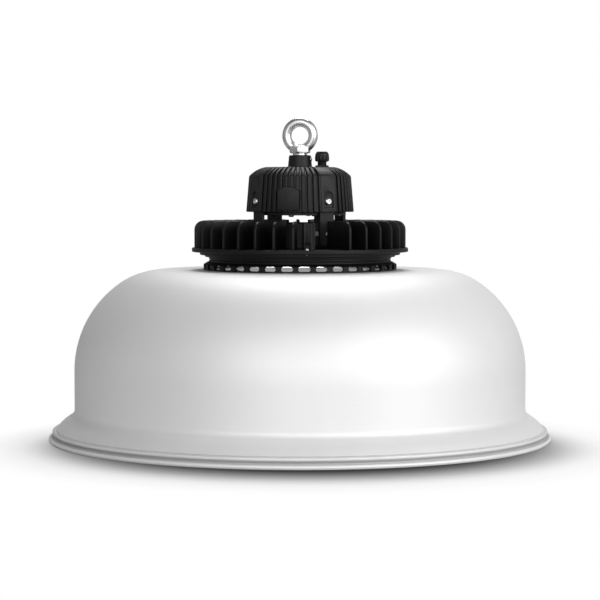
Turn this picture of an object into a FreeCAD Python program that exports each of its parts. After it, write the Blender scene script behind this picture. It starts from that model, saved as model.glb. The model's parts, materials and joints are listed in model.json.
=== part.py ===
import FreeCAD, Part
import math
import os
import re

import Sketcher

# High bay light with a spun reflector, in millimetres. +Z is up, the origin is the centre
# of the rim's lower face, and -Y is the side with the label pad.
# A bearing is the angle round the Z axis from -Y towards +X, in degrees.

doc = FreeCAD.newDocument("high_bay_light")

# ---------------------------------------------------------------- driving dimensions

SIZES = [
    # reflector
    ("rim_radius", 250.5, "outside radius of the rolled rim"),
    ("bead_radius", 2.6, "section radius of the rolled rim"),
    ("foot_sink", 0.3, "how far the rolled rim is flattened where it rests"),
    ("ridge_inset", 4.7, "how far the ridge above the rolled rim lies inside its edge"),
    ("ridge_height", 9.2, "height of the ridge above the rolled rim"),
    ("ridge_lean", 52, "slope of the flare at the ridge, below the horizontal"),
    ("flare_lean", 22, "slope where the flare starts, below the horizontal"),
    ("flare_bend", 45, "radius of the flare"),
    ("fillet_bend", 3, "radius of the hollow between side wall and flare"),
    ("wall_foot_height", 26, "height where the side wall runs into that hollow"),
    ("flare_reach", 20.8, "how far the ridge stands out from the side wall"),
    ("shoulder_start_height", 69, "height where the shoulder leaves the side wall"),
    ("shoulder_bend", 105, "radius of the shoulder"),
    ("shoulder_turn", 55, "angle turned by the shoulder before the crown bend"),
    ("crown_bend", 74, "radius of the bend between shoulder and flat crown"),
    ("reflector_sheet", 1.2, "reflector: thickness of the metal"),
    # collar
    ("collar_foot_width", 10.5, "width of the flange on the crown"),
    ("collar_flare", 4, "how far the windowed wall stands out from the neck"),
    ("collar_wall_height", 5.8, "height of the windowed wall"),
    ("collar_cone_rise", 2.4, "rise of the cone above the windowed wall"),
    ("collar_neck_stand", 1.5, "how far the top of the cone stands out from the bezel"),
    ("collar_top_width", 9, "width of the upper flange inside the bezel"),
    ("collar_sheet", 1.2, "thickness of the collar's flanges"),
    ("collar_wall", 3, "thickness of the collar's windowed wall and cone"),
    ("window_count", 36, "windows round the collar"),
    ("window_width", 11.6, "width of a window"),
    ("window_reach", 0.5, "how far a window climbs into the cone"),
    ("window_bearing", 5, "bearing of the first window"),
    ("rivet_count", 12, "rivets that hold the reflector"),
    ("rivet_radius", 1.6, "radius of a rivet's shank"),
    ("rivet_head", 2.8, "radius of a rivet's head"),
    ("rivet_head_height", 1.2, "height of a rivet's head"),
    # lamp
    ("bezel_inset", 4, "how far the bezel lies inside the lower step"),
    ("bezel_height", 5, "height of the bezel"),
    ("bezel_lip", 2, "thickness of the lip under the lens"),
    ("bezel_groove", 0.8, "depth of the groove round the bezel"),
    ("bezel_width", 9, "radial width of the bezel at its lip"),
    ("bezel_seat", 0.6, "metal left under a bezel screw's head"),
    ("lens_inset", 2.5, "how far the lens plate lies inside the bezel"),
    ("lens_thickness", 2, "thickness of the lens plate"),
    ("lens_gasket_width", 5.6, "radial width of the lens gasket"),
    ("led_recess_inset", 6, "how far the LED board's recess lies inside the lens"),
    ("led_recess_depth", 2.6, "depth of the recess that holds the LED board"),
    ("board_thickness", 1.6, "thickness of both circuit boards"),
    ("led_screw_inset", 9, "how far the LED board's screws lie inside its edge"),
    ("led_screw_count", 6, "screws that hold the LED board"),
    ("led_screw_grip", 4, "thread length of the LED board's screws"),
    ("led_head_height", 1.2, "head height of the LED board's screws"),
    ("chip_side", 3, "side of an LED package"),
    ("chip_height", 0.8, "height of an LED package"),
    ("chip_ring_pitch", 16, "radial distance between the rings of LED packages"),
    ("step_inset", 5, "how far the lower step lies inside the upper one"),
    ("step_height", 2, "height of the lower step"),
    ("web_inset", 8, "how far the upper step lies inside the flange"),
    ("web_height", 3, "height of the upper step"),
    ("flange_radius", 108, "radius of the heat sink's flange"),
    ("flange_thickness", 4, "thickness of the heat sink's flange"),
    ("fin_height", 27, "height of a fin"),
    ("fin_inset", 2.5, "how far the fins' outer edges lie inside the flange"),
    ("fin_inside", 60, "inside radius of the fins"),
    ("fin_root", 0.5, "how deep the fins are rooted in the flange"),
    ("fin_thickness", 2.6, "thickness of a fin"),
    ("fin_corner", 9, "rounding of a fin's upper outer corner"),
    ("fin_places", 35, "fin places round the heat sink"),
    ("bay_bearing", 24.3, "bearing of the gap where two fins are left out"),
    ("core_inset", 6.1, "how far the core wall lies inside the lead"),
    ("core_wall", 3, "thickness of the core wall"),
    ("core_height", 25, "height of the core wall"),
    # fluted boss in the gap of the fins
    ("boss_bearing", 17.6, "bearing of the fluted boss"),
    ("boss_inset", 6, "how far the fluted boss lies inside the flange"),
    ("boss_depth", 16, "radial depth of the boss"),
    ("boss_width", 11, "width of the boss"),
    ("boss_height", 25.5, "height of the boss"),
    ("boss_flute", 1.5, "width of a flute, and of the land beside it"),
    ("notch_width", 6.2, "width of the screw notch at the boss's foot"),
    ("notch_shift", 2.1, "how far the notch lies to the left of the boss's middle"),
    ("notch_height", 7.4, "height of the screw notch"),
    ("notch_depth", 7, "depth of the screw notch"),
    # driver legs
    ("leg_width", 16, "width of a driver leg"),
    ("leg_thickness", 3, "thickness of a driver leg"),
    ("leg_inset", 7.25, "how far a leg's inner face lies inside the housing's foot"),
    ("leg_reach", 19, "how far a leg enters the driver housing"),
    ("leg_foot", 9.4, "length of a leg's foot, inwards"),
    ("leg_bend", 4, "outside radius of the bend above a leg's foot"),
    ("leg_gap", 8.7, "height of the air gap between driver housing and fins"),
    ("slot_clearance", 0.2, "clearance round a leg in its slot"),
    # driver housing
    ("housing_foot_radius", 53.75, "radius over the ribs at the bottom"),
    ("housing_taper", 2.9, "how far the ribbed wall leans in"),
    ("housing_wall_height", 35.4, "height of the ribbed wall"),
    ("housing_shoulder_rise", 9.1, "rise of the shoulder above the wall"),
    ("housing_shoulder_run", 15.85, "how far the shoulder runs in from the wall"),
    ("housing_shoulder_bend", 30, "radius of the shoulder's curve"),
    ("rib_count", 56, "rib places round the housing"),
    ("ribs_between_lands", 12, "ribs between two lands"),
    ("rib_width", 3.3, "width of a rib"),
    ("rib_depth", 2.6, "depth of the grooves between the ribs"),
    ("rib_root", 1.4, "how deep a rib is rooted in the wall"),
    ("land_margin", 0.5, "how much wider a flat land is than its leg, on each side"),
    ("recess_width", 10.5, "width of the screw recess in a land"),
    ("recess_height", 15.5, "height of the screw recess in a land"),
    ("recess_wall", 1.7, "wall between a leg and the floor of its screw recess"),
    ("recess_sill", 4.5, "height of a recess above the housing's bottom"),
    ("pad_width", 21.6, "width of the label pad"),
    ("pad_height", 23, "height of the label pad"),
    ("pad_arch_bend", 16, "radius of the arch over the label pad"),
    ("pad_arch_rise", 4, "rise of the arch over the label pad"),
    ("pad_sill", 1.8, "height of the label pad above the housing's bottom"),
    ("pad_stand", 0.05, "how far the label pad stands out of the ribs at the bottom"),
    ("cavity_inset", 4.1, "how far the hollow lies inside the legs"),
    ("cavity_height", 38, "height of the hollow inside the housing"),
    ("cavity_bend", 10, "rounding at the top of the hollow"),
    ("boss_foot_radius", 12, "radius of the top boss at its foot"),
    ("boss_top_radius", 11, "radius of the top boss at its top"),
    ("boss_rise", 11.8, "height of the top boss"),
    ("inner_boss_radius", 10, "radius of the boss inside the hollow"),
    ("inner_boss_drop", 8, "how far the inner boss hangs into the hollow"),
    # driver cover and its contents
    ("cover_inset", 0.7, "how far the base cover lies inside the legs"),
    ("cover_thickness", 2.6, "thickness of the driver's base cover"),
    ("gasket_thickness", 0.6, "thickness of the driver gasket"),
    ("gasket_width", 2.8, "width of the driver gasket"),
    ("cover_screw_inset", 3, "how far the cover screws lie inside the hollow"),
    ("screw_post_radius", 4, "radius of the posts that take the cover screws"),
    ("standoff_inset", 4.4, "how far the standoffs lie inside the circuit board's edge"),
    ("standoff_radius", 3, "radius of a board standoff"),
    ("standoff_height", 5, "height of a board standoff"),
    ("screw_post_height", 14, "height of the posts that take the cover screws"),
    ("board_lead_gap", 0.2, "gap between the driver's circuit board and the lead"),
    # suspension
    ("eye_radius", 18, "outside radius of the eye"),
    ("eye_wire_radius", 4.6, "section radius of the eye"),
    ("eye_land", 3, "width of the straight land inside the eye"),
    ("eye_sink", 0.5, "how far the eye sinks below the hexagon's foot line"),
    ("hexagon_flats", 19, "width across the flats of the hexagon"),
    ("hexagon_height", 7, "height of the hexagon"),
    ("shank_radius", 4, "radius of the threaded shank"),
    ("shank_length", 19, "length of the threaded shank"),
    ("thread_clearance", 0.05, "radial clearance of every thread"),
    ("hole_clearance", 0.25, "radial clearance of every screw hole"),
    ("spring_washer_thickness", 2, "thickness of the spring washer"),
    ("spring_washer_radius", 7.2, "outside radius of the spring washer"),
    ("spring_washer_split", 1.2, "width of the split in the spring washer"),
    ("grub_radius", 2, "radius of the grub screw"),
    ("grub_stand", 1, "how far the grub screw stands out of the boss"),
    ("grub_height", 7.9, "height of the grub screw above the housing's flat top"),
    # supply gland
    ("gland_stand", 10.5, "distance of the supply gland's axis from the top boss"),
    ("gland_thread_radius", 5, "radius of the gland's thread"),
    ("gland_foot_flats", 12, "width across the flats of the gland's foot"),
    ("gland_foot_height", 1.8, "height of the gland's foot"),
    ("gland_neck_radius", 4.6, "radius of the gland's neck"),
    ("gland_neck_height", 4.6, "height of the gland's neck above its foot"),
    ("gland_grip", 6, "how far the gland's neck enters its cap"),
    ("gland_seal_wall", 0.9, "wall of the gland's seal"),
    ("gland_seal_height", 5, "height of the gland's seal"),
    ("gland_cap_radius", 7.25, "largest radius of the gland's cap"),
    ("gland_cap_top_radius", 5.3, "radius at the top of the gland's cap"),
    ("gland_cap_height", 10, "height of the gland's cap"),
    ("gland_entry_radius", 3, "radius of the hole that takes the supply cable"),
    ("locknut_flats", 13, "width across the flats of the locknut"),
    ("locknut_height", 2.8, "height of the locknut"),
    # lead between driver and lamp
    ("lead_radius", 3, "radius of the lead from driver to lamp"),
    ("lead_foot_gap", 0.3, "gap between the lower grommet and a leg's foot"),
    ("lead_bearing", 44.6, "bearing of the lead"),
    ("lead_entry", 8, "how far the lead enters the driver"),
    ("grommet_wall", 1.2, "wall of a lead grommet"),
    ("grommet_lip", 1, "width and thickness of a lead grommet's lips"),
    ("grommet_depth", 4, "depth of the lower grommet's seat in the heat sink"),
    ("clip_height", 12.4, "height of the lead clip above the heat sink's flange"),
    ("clip_arm_width", 3, "width of the lead clip's arm and pin"),
    ("clip_thickness", 4, "height of the lead clip's band"),
    ("clip_wall", 1.4, "wall of the lead clip"),
    ("clip_clearance", 0.1, "clearance between lead and clip"),
    # fasteners
    ("small_screw_radius", 1.5, "radius of the small screws"),
    ("small_head_radius", 2.75, "head radius of the small screws"),
    ("small_head_height", 1.6, "head height of the small screws"),
    ("small_screw_grip", 8, "thread length of the small screws in their holes"),
    ("leg_screw_grip", 5, "thread length of the leg and collar screws in the heat sink"),
    ("leg_screw_radius", 2, "radius of the leg and collar screws"),
    ("leg_head_radius", 3.7, "head radius of the leg and collar screws"),
    ("leg_head_height", 2.3, "head height of the leg and collar screws"),
    ("socket_radius", 1.3, "radius of the hexagon sockets in the screw heads"),
    ("socket_depth", 1.1, "depth of the hexagon sockets in the screw heads"),
    ("bezel_screw_inset", 3.2, "how far the bezel and collar screws lie inside the lens"),
    ("bezel_screw_grip", 3, "thread length of the bezel screws in the heat sink"),
    ("boss_screw_length", 5, "length of the screw in the fluted boss's notch"),
    ("drill_run", 0.5, "how much deeper a blind hole is than its screw"),
    ("bezel_screw_count", 8, "screws that hold the bezel"),
    ("collar_screw_count", 6, "screws that hold the collar"),
]

# Heights and places that follow from the driving dimensions.
DERIVED = [
    ("ridge_radius", "rim_radius - ridge_inset"),
    ("side_radius", "ridge_radius - flare_reach"),
    ("web_radius", "flange_radius - web_inset"),
    ("step_radius", "web_radius - step_inset"),
    ("fin_outside", "flange_radius - fin_inset"),
    ("boss_outside", "flange_radius - boss_inset"),
    ("bezel_radius", "step_radius - bezel_inset"),
    ("light_opening", "bezel_radius - bezel_width"),
    ("lens_radius", "bezel_radius - lens_inset"),
    ("lens_gasket_inside", "lens_radius - lens_gasket_width"),
    ("led_recess_radius", "lens_radius - led_recess_inset"),
    ("led_screw_circle", "led_recess_radius - led_screw_inset"),
    ("bezel_screw_circle", "lens_radius - bezel_screw_inset"),
    ("collar_neck", "bezel_radius + collar_neck_stand"),
    ("collar_light_opening", "bezel_radius - collar_top_width"),
    ("collar_radius", "collar_neck + collar_flare"),
    ("collar_mouth", "collar_radius - collar_foot_width"),
    ("leg_radius", "housing_foot_radius - leg_inset"),
    ("land_width", "leg_width + 2 * land_margin"),
    ("recess_floor", "leg_radius + leg_thickness + recess_wall"),
    ("pad_face", "housing_foot_radius + pad_stand"),
    ("housing_waist_radius", "housing_foot_radius - housing_taper"),
    ("housing_top_radius", "housing_waist_radius - housing_shoulder_run"),
    ("cavity_radius", "leg_radius - cavity_inset"),
    ("cover_radius", "leg_radius - cover_inset"),
    ("cover_screw_circle", "cavity_radius - cover_screw_inset"),
    ("lead_hole", "lead_radius + grommet_wall"),
    ("lead_offset", "leg_radius - leg_foot - lead_foot_gap - grommet_lip - lead_hole"),
    ("driver_board_radius", "lead_offset - lead_radius - board_lead_gap"),
    ("standoff_circle", "driver_board_radius - standoff_inset"),
    ("core_radius", "lead_offset - core_inset"),
    ("gland_offset", "boss_foot_radius + gland_stand"),
    ("eye_centre_height", "eye_radius - eye_sink"),
    ("crown_height", "shoulder_start_height + shoulder_bend * sin(shoulder_turn)"
     " + crown_bend * (1 - sin(shoulder_turn))"),
    ("crown_edge_radius", "side_radius - (shoulder_bend - crown_bend) * (1 - cos(shoulder_turn))"
     " - crown_bend"),
    ("shoulder_end_radius", "side_radius - shoulder_bend * (1 - cos(shoulder_turn))"),
    ("shoulder_end_height", "shoulder_start_height + shoulder_bend * sin(shoulder_turn)"),
    ("fillet_end_radius", "side_radius + fillet_bend * (1 - sin(flare_lean))"),
    ("fillet_end_height", "wall_foot_height - fillet_bend * cos(flare_lean)"),
    ("bead_height", "bead_radius - foot_sink"),
    ("bead_centre", "rim_radius - bead_radius"),
    ("foot_half_width", "sqrt(bead_radius * bead_radius - bead_height * bead_height)"),
    ("rivet_circle", "(collar_mouth + collar_radius - collar_wall) / 2"),
    ("collar_cone_foot", "crown_height + collar_wall_height"),
    ("bezel_foot", "collar_cone_foot + collar_cone_rise"),
    ("bezel_top", "bezel_foot + bezel_height"),
    ("lens_foot", "bezel_foot + bezel_lip"),
    ("lens_top", "lens_foot + lens_thickness"),
    ("led_recess_top", "bezel_top + led_recess_depth"),
    ("flange_foot", "bezel_top + step_height + web_height"),
    ("flange_top", "flange_foot + flange_thickness"),
    ("fin_top", "flange_top + fin_height"),
    ("housing_foot", "fin_top + leg_gap"),
    ("waist_height", "housing_foot + housing_wall_height"),
    ("housing_top", "waist_height + housing_shoulder_rise"),
    ("cavity_top", "housing_foot + cavity_height"),
    ("inner_boss_foot", "cavity_top - inner_boss_drop"),
    ("boss_seat", "housing_top + boss_rise"),
    ("hexagon_foot", "boss_seat + spring_washer_thickness"),
    ("leg_top", "housing_foot + leg_reach"),
    ("leg_screw_height", "housing_foot + recess_sill + (recess_height - recess_width / 2) / 2 + 1"),
    ("cover_top", "housing_foot - gasket_thickness"),
    ("cover_foot", "cover_top - cover_thickness"),
    ("driver_board_foot", "cover_top + standoff_height"),
    ("driver_board_top", "driver_board_foot + board_thickness"),
    ("gland_cap_foot", "housing_top + gland_foot_height + gland_neck_height - 1"),
    ("gland_cap_top", "gland_cap_foot + gland_cap_height"),
    ("gland_neck_top", "gland_cap_foot + gland_grip"),
    ("gland_seal_foot", "gland_neck_top - gland_seal_height * 0.7"),
    ("gland_bore", "gland_entry_radius + gland_seal_wall + thread_clearance"),
]

sheet = doc.addObject("Spreadsheet::Sheet", "dims")
for row, (alias, value, note) in enumerate(SIZES, start=1):
    sheet.set(f"A{row}", note)
    sheet.set(f"B{row}", str(value))
    sheet.setAlias(f"B{row}", alias)

SHEET_OF = {name: "dims." for name, value, note in SIZES}


def linked(formula):
    """The formula with the sheet of each name written before it."""
    return re.sub("[a-z][a-z_]*", lambda word: SHEET_OF.get(word[0], "") + word[0], str(formula))


places = doc.addObject("Spreadsheet::Sheet", "places")
for row, (alias, formula) in enumerate(DERIVED, start=1):
    places.set(f"A{row}", alias.replace("_", " "))
    places.set(f"B{row}", "=" + linked(formula))
    places.setAlias(f"B{row}", alias)
    SHEET_OF[alias] = "places."
doc.recompute()


def number(formula):
    """The present value of a formula."""
    value = places.evalExpression(linked(formula))
    return float(getattr(value, "Value", value))


# ---------------------------------------------------------------- modelling helpers

def origin_item(body, role):
    return next(item for item in body.Origin.OriginFeatures if item.Role == role)


def new_body(label, turn=0):
    """A body, turned about the Z axis by a bearing."""
    body = doc.addObject("PartDesign::Body", label)
    body.Label = label
    body.AllowCompound = True
    body.Placement.Rotation = FreeCAD.Rotation(FreeCAD.Vector(0, 0, 1), 0)
    if turn:
        body.setExpression("Placement.Rotation.Angle", linked(turn))
    return body


def new_sketch(body, plane="XZ_Plane", turn=0, out=0, side=0, rise=0):
    """A sketch on a plane of the body. On the XZ plane, side is along X and rise along Z,
    turn swings it about the Z axis, and out moves it along its normal."""
    sketch = body.newObject("Sketcher::SketchObject", body.Label + "_outline")
    sketch.AttachmentSupport = (origin_item(body, plane), [""])
    sketch.MapMode = "FlatFace"
    if turn:
        swing = FreeCAD.Rotation(FreeCAD.Vector(0, 1, 0), number(turn))
        sketch.AttachmentOffset = FreeCAD.Placement(FreeCAD.Vector(0, 0, 0), swing)
        sketch.setExpression("AttachmentOffset.Rotation.Angle", linked(turn))
    sketch.setExpression("AttachmentOffset.Base.x",
                         linked(f"( {out} ) * sin( {turn} ) + ( {side} ) * cos( {turn} )"))
    sketch.setExpression("AttachmentOffset.Base.y", linked(f"{rise}"))
    sketch.setExpression("AttachmentOffset.Base.z",
                         linked(f"( {out} ) * cos( {turn} ) - ( {side} ) * sin( {turn} )"))
    return sketch


def arc_between(start, end, radius):
    """The shorter arc from start to end; a positive radius runs counter-clockwise."""
    if radius < 0:
        start, end = end, start
    bend = abs(radius)
    chord = end - start
    rise = math.sqrt(max(bend * bend - chord.Length * chord.Length / 4, 0))
    normal = FreeCAD.Vector(-chord.y, chord.x, 0).normalize()
    centre = (start + end) * 0.5 + normal * rise
    circle = Part.Circle(centre, FreeCAD.Vector(0, 0, 1), bend)
    first = math.atan2(start.y - centre.y, start.x - centre.x)
    last = math.atan2(end.y - centre.y, end.x - centre.x)
    return Part.ArcOfCircle(circle, first, last)


def pin(sketch, kind, axis, edge, end, formula):
    """Holds one coordinate of an edge's end at a formula."""
    if str(formula) == "0":
        sketch.addConstraint(Sketcher.Constraint("PointOnObject", edge, end, axis))
        return
    index = sketch.addConstraint(Sketcher.Constraint(kind, -1, 1, edge, end, number(formula)))
    sketch.setExpression(f"Constraints[{index}]", linked(formula))


def outline(sketch, *corners):
    """A closed outline. Each corner is (x, y), or (x, y, bend) where the edge that leaves it
    is an arc of that radius, counter-clockwise if positive."""
    points = [FreeCAD.Vector(number(corner[0]), number(corner[1]), 0) for corner in corners]
    ends = []
    edges = []
    for place, corner in enumerate(corners):
        start = points[place]
        end = points[(place + 1) % len(points)]
        bend = number(corner[2]) if len(corner) == 3 else 0
        curve = arc_between(start, end, bend) if bend else Part.LineSegment(start, end)
        edges.append(sketch.addGeometry(curve, False))
        ends.append((2, 1) if bend < 0 else (1, 2))
        if bend:
            index = sketch.addConstraint(Sketcher.Constraint("Radius", edges[-1], abs(bend)))
            sign = "-1" if bend < 0 else "1"
            sketch.setExpression(f"Constraints[{index}]", linked(f"{sign} * ( {corner[2]} )"))
    for place, corner in enumerate(corners):
        before = place - 1
        sketch.addConstraint(Sketcher.Constraint("Coincident", edges[before], ends[before][1],
                                                 edges[place], ends[place][0]))
        pin(sketch, "DistanceX", -2, edges[place], ends[place][0], corner[0])
        pin(sketch, "DistanceY", -1, edges[place], ends[place][0], corner[1])


def circle(sketch, radius, across=0, up=0):
    """A circle round a point of the sketch."""
    centre = FreeCAD.Vector(number(across), number(up), 0)
    edge = sketch.addGeometry(Part.Circle(centre, FreeCAD.Vector(0, 0, 1), number(radius)), False)
    index = sketch.addConstraint(Sketcher.Constraint("Radius", edge, number(radius)))
    sketch.setExpression(f"Constraints[{index}]", linked(radius))
    pin(sketch, "DistanceX", -2, edge, 3, across)
    pin(sketch, "DistanceY", -1, edge, 3, up)


def arch(sketch, half_width, foot, top, across=0):
    """An outline with a straight foot and a round arch at the top."""
    left = f"( {across} ) - ( {half_width} )"
    right = f"( {across} ) + ( {half_width} )"
    spring = f"( {top} ) - ( {half_width} )"
    outline(sketch, (left, foot), (right, foot), (right, spring, half_width),
            (across, top, half_width), (left, spring))


def rectangle(sketch, left, right, foot, top):
    outline(sketch, (left, foot), (right, foot), (right, top), (left, top))


def hexagon(sketch, flats, across=0):
    """A hexagon with two flats square to the sketch's Y axis."""
    half = f"( {flats} ) / 2"
    corner = f"( {flats} ) / sqrt( 3 )"
    outline(sketch,
            (f"( {across} ) + {corner}", 0),
            (f"( {across} ) + {corner} / 2", half),
            (f"( {across} ) - {corner} / 2", half),
            (f"( {across} ) - {corner}", 0),
            (f"( {across} ) - {corner} / 2", f"-1 * {half}"),
            (f"( {across} ) + {corner} / 2", f"-1 * {half}"))


def turned(body, sketch, kind="PartDesign::Revolution", axis="V_Axis"):
    """Turns a sketch round one of its own axes; kind Groove cuts instead of adding."""
    feature = body.newObject(kind, body.Label + "_turned")
    feature.Profile = (sketch, [""])
    feature.ReferenceAxis = (sketch, [axis])
    feature.Angle = 360
    sketch.Visibility = False
    body.Tip = feature
    doc.recompute()
    return feature


def raised(body, sketch, length, kind="PartDesign::Pad", middle=False, back=False):
    """Pads a sketch along its normal; kind Pocket cuts along the pad's own direction."""
    cuts = kind == "PartDesign::Pocket"
    feature = body.newObject(kind, body.Label + ("_pocket" if cuts else "_pad"))
    feature.Profile = (sketch, [""])
    feature.setExpression("Length", linked(length))
    feature.SideType = "Symmetric" if middle else "One side"
    feature.Reversed = back != cuts
    sketch.Visibility = False
    body.Tip = feature
    doc.recompute()
    return feature


def cut(body, sketch, length, **options):
    return raised(body, sketch, length, kind="PartDesign::Pocket", **options)


def around(body, feature, count, turn=360):
    """Repeats a feature round the Z axis."""
    pattern = body.newObject("PartDesign::PolarPattern", body.Label + "_pattern")
    pattern.Originals = [feature] if not isinstance(feature, list) else feature
    pattern.Axis = (origin_item(body, "Z_Axis"), [""])
    pattern.setExpression("Angle", linked(turn))
    pattern.setExpression("Occurrences", linked(count))
    body.Tip = pattern
    doc.recompute()
    return pattern


def in_groups(body, feature, count, spread, groups):
    """Repeats a feature over a spread of bearings, and that group round the whole Z axis."""
    repeat = body.newObject("PartDesign::MultiTransform", body.Label + "_groups")
    repeat.Originals = [feature]
    steps = []
    for turn, places in ((spread, count), (360, groups)):
        step = body.newObject("PartDesign::PolarPattern", body.Label + "_group_step")
        step.Axis = (origin_item(body, "Z_Axis"), [""])
        step.setExpression("Angle", linked(turn))
        step.setExpression("Occurrences", linked(places))
        steps.append(step)
    repeat.Transformations = steps
    body.Tip = repeat
    doc.recompute()
    return repeat


def screw_profile(sketch, radius, head_radius, head_height, length):
    """Half section of a pan head screw: the head's underside is at the sketch's X axis, the
    shank runs down, and the socket is a plain round recess."""
    outline(sketch,
            (0, f"-1 * ( {length} )"), (radius, f"-1 * ( {length} )"), (radius, 0),
            (head_radius, 0), (head_radius, f"( {head_height} ) * 0.45"),
            (f"( {head_radius} ) * 0.78", head_height),
            ("socket_radius", head_height), ("socket_radius", f"( {head_height} ) - socket_depth"),
            (0, f"( {head_height} ) - socket_depth"))


def upright_screws(label, circle_radius, count, seat, length, down=False, turn=0,
                   radius="leg_screw_radius", head="leg_head_radius", rise="leg_head_height"):
    """A ring of screws with their heads up, or down, seated at a height."""
    body = new_body(label, turn)
    sketch = new_sketch(body, side=circle_radius, rise=seat)
    if down:
        outline(sketch,
                (0, length), (radius, length), (radius, 0),
                (head, 0), (head, f"-0.45 * ( {rise} )"), (f"0.78 * {head}", f"-1 * ( {rise} )"),
                ("socket_radius", f"-1 * ( {rise} )"),
                ("socket_radius", f"socket_depth - ( {rise} )"),
                (0, f"socket_depth - ( {rise} )"))
    else:
        screw_profile(sketch, radius, head, rise, length)
    around(body, turned(body, sketch), count)
    return body


def block(label, width, depth, height, across, along, foot, turn=0):
    """A plain box, centred at a place in plan, with its foot at a height."""
    box = doc.addObject("Part::Box", label)
    box.Label = label
    for side, size in (("Length", width), ("Width", depth), ("Height", height)):
        box.setExpression(side, linked(size))
    box.setExpression("Placement.Base.x", linked(f"( {across} ) - ( {width} ) / 2"))
    box.setExpression("Placement.Base.y", linked(f"( {along} ) - ( {depth} ) / 2"))
    box.setExpression("Placement.Base.z", linked(foot))
    return box


def at_bearing(reach, bearing):
    """Plan coordinates of a point at a distance from the axis and a bearing."""
    return f"( {reach} ) * sin( {bearing} )", f"-1 * ( {reach} ) * cos( {bearing} )"


# ---------------------------------------------------------------- reflector and collar

def make_reflector():
    """Spun dome: flat crown, shoulder in two bends, side wall, flare, ridge and rolled rim."""
    body = new_body("reflector")
    sketch = new_sketch(body)
    skin = "reflector_sheet"
    outline(sketch,
            ("collar_mouth", "crown_height"),
            ("crown_edge_radius", "crown_height", "-1 * crown_bend"),
            ("shoulder_end_radius", "shoulder_end_height", "-1 * shoulder_bend"),
            ("side_radius", "shoulder_start_height"),
            ("side_radius", "wall_foot_height", "fillet_bend"),
            ("fillet_end_radius", "fillet_end_height", "-1 * flare_bend"),
            ("ridge_radius", "ridge_height"),
            ("bead_centre - bead_radius * sin( 30 )", "bead_height + bead_radius * cos( 30 )",
             "-1 * bead_radius"),
            ("rim_radius", "bead_height", "-1 * bead_radius"),
            ("bead_centre + foot_half_width", "0"),
            ("bead_centre - foot_half_width", "0", "-1 * bead_radius"),
            ("bead_centre - bead_radius", "bead_height"),
            (f"ridge_radius - {skin} * sin( ridge_lean )",
             f"ridge_height - {skin} * cos( ridge_lean )", f"flare_bend - {skin}"),
            (f"fillet_end_radius - {skin} * sin( flare_lean )",
             f"fillet_end_height - {skin} * cos( flare_lean )", f"-1 * ( fillet_bend + {skin} )"),
            (f"side_radius - {skin}", "wall_foot_height"),
            (f"side_radius - {skin}", "shoulder_start_height", f"shoulder_bend - {skin}"),
            (f"shoulder_end_radius - {skin} * cos( shoulder_turn )",
             f"shoulder_end_height - {skin} * sin( shoulder_turn )", f"crown_bend - {skin}"),
            ("crown_edge_radius", f"crown_height - {skin}"),
            ("collar_mouth", f"crown_height - {skin}"))
    turned(body, sketch)
    holes = new_sketch(body, "XY_Plane", out="crown_height", side="rivet_circle")
    circle(holes, "rivet_radius + thread_clearance")
    around(body, cut(body, holes, "reflector_sheet * 2", back=True), "rivet_count")
    return body


def make_collar():
    """Cast ring between bezel and crown: flat flanges inside, a cone and a windowed wall."""
    body = new_body("reflector_collar")
    sketch = new_sketch(body)
    skin = "collar_sheet"
    outline(sketch,
            ("collar_light_opening", "bezel_foot"),
            ("collar_light_opening", f"bezel_foot - {skin}"),
            ("collar_neck - collar_wall", f"bezel_foot - {skin}"),
            ("collar_radius - collar_wall", "collar_cone_foot - collar_wall * 0.75"),
            ("collar_radius - collar_wall", f"crown_height + {skin}"),
            ("collar_mouth", f"crown_height + {skin}"),
            ("collar_mouth", "crown_height"),
            ("collar_radius", "crown_height"),
            ("collar_radius", "collar_cone_foot"),
            ("collar_neck", "bezel_foot"))
    turned(body, sketch)
    holes = new_sketch(body, "XY_Plane", out="crown_height", side="rivet_circle")
    circle(holes, "rivet_radius + thread_clearance")
    around(body, cut(body, holes, f"{skin} * 1.5"), "rivet_count")
    screws = new_sketch(body, "XY_Plane", out="bezel_foot", side="bezel_screw_circle")
    circle(screws, "leg_screw_radius + hole_clearance")
    around(body, cut(body, screws, f"{skin} * 2", back=True), "collar_screw_count")
    window = new_sketch(body, turn="window_bearing", out="collar_mouth")
    foot = f"crown_height + {skin}"
    top = "collar_cone_foot + window_reach"
    bend = f"( ( {top} ) - ( {foot} ) ) / 2"
    straight = f"window_width / 2 - {bend}"
    middle = f"( {foot} ) + {bend}"
    outline(window,
            (f"-1 * ( {straight} )", foot), (straight, foot, bend),
            (f"{straight} + {bend}", middle, bend), (straight, top),
            (f"-1 * ( {straight} )", top, bend), (f"-1 * ( {straight} + {bend} )", middle, bend))
    around(body, cut(body, window, "collar_radius - collar_mouth + 1"), "window_count")
    return body


def make_rivets():
    """Blind rivets through the collar's lower flange and the crown."""
    body = new_body("reflector_rivets")
    sketch = new_sketch(body, side="rivet_circle", rise="crown_height")
    grip_foot = "-1 * reflector_sheet"
    grip_top = "collar_sheet"
    outline(sketch,
            (0, f"{grip_foot} - rivet_head_height"),
            ("rivet_head * 0.6", f"{grip_foot} - rivet_head_height"),
            ("rivet_head", grip_foot), ("rivet_radius", grip_foot),
            ("rivet_radius", grip_top), ("rivet_head", grip_top),
            ("rivet_head * 0.6", f"{grip_top} + rivet_head_height"),
            (0, f"{grip_top} + rivet_head_height"))
    around(body, turned(body, sketch), "rivet_count")
    return body


# ---------------------------------------------------------------- lamp

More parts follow.
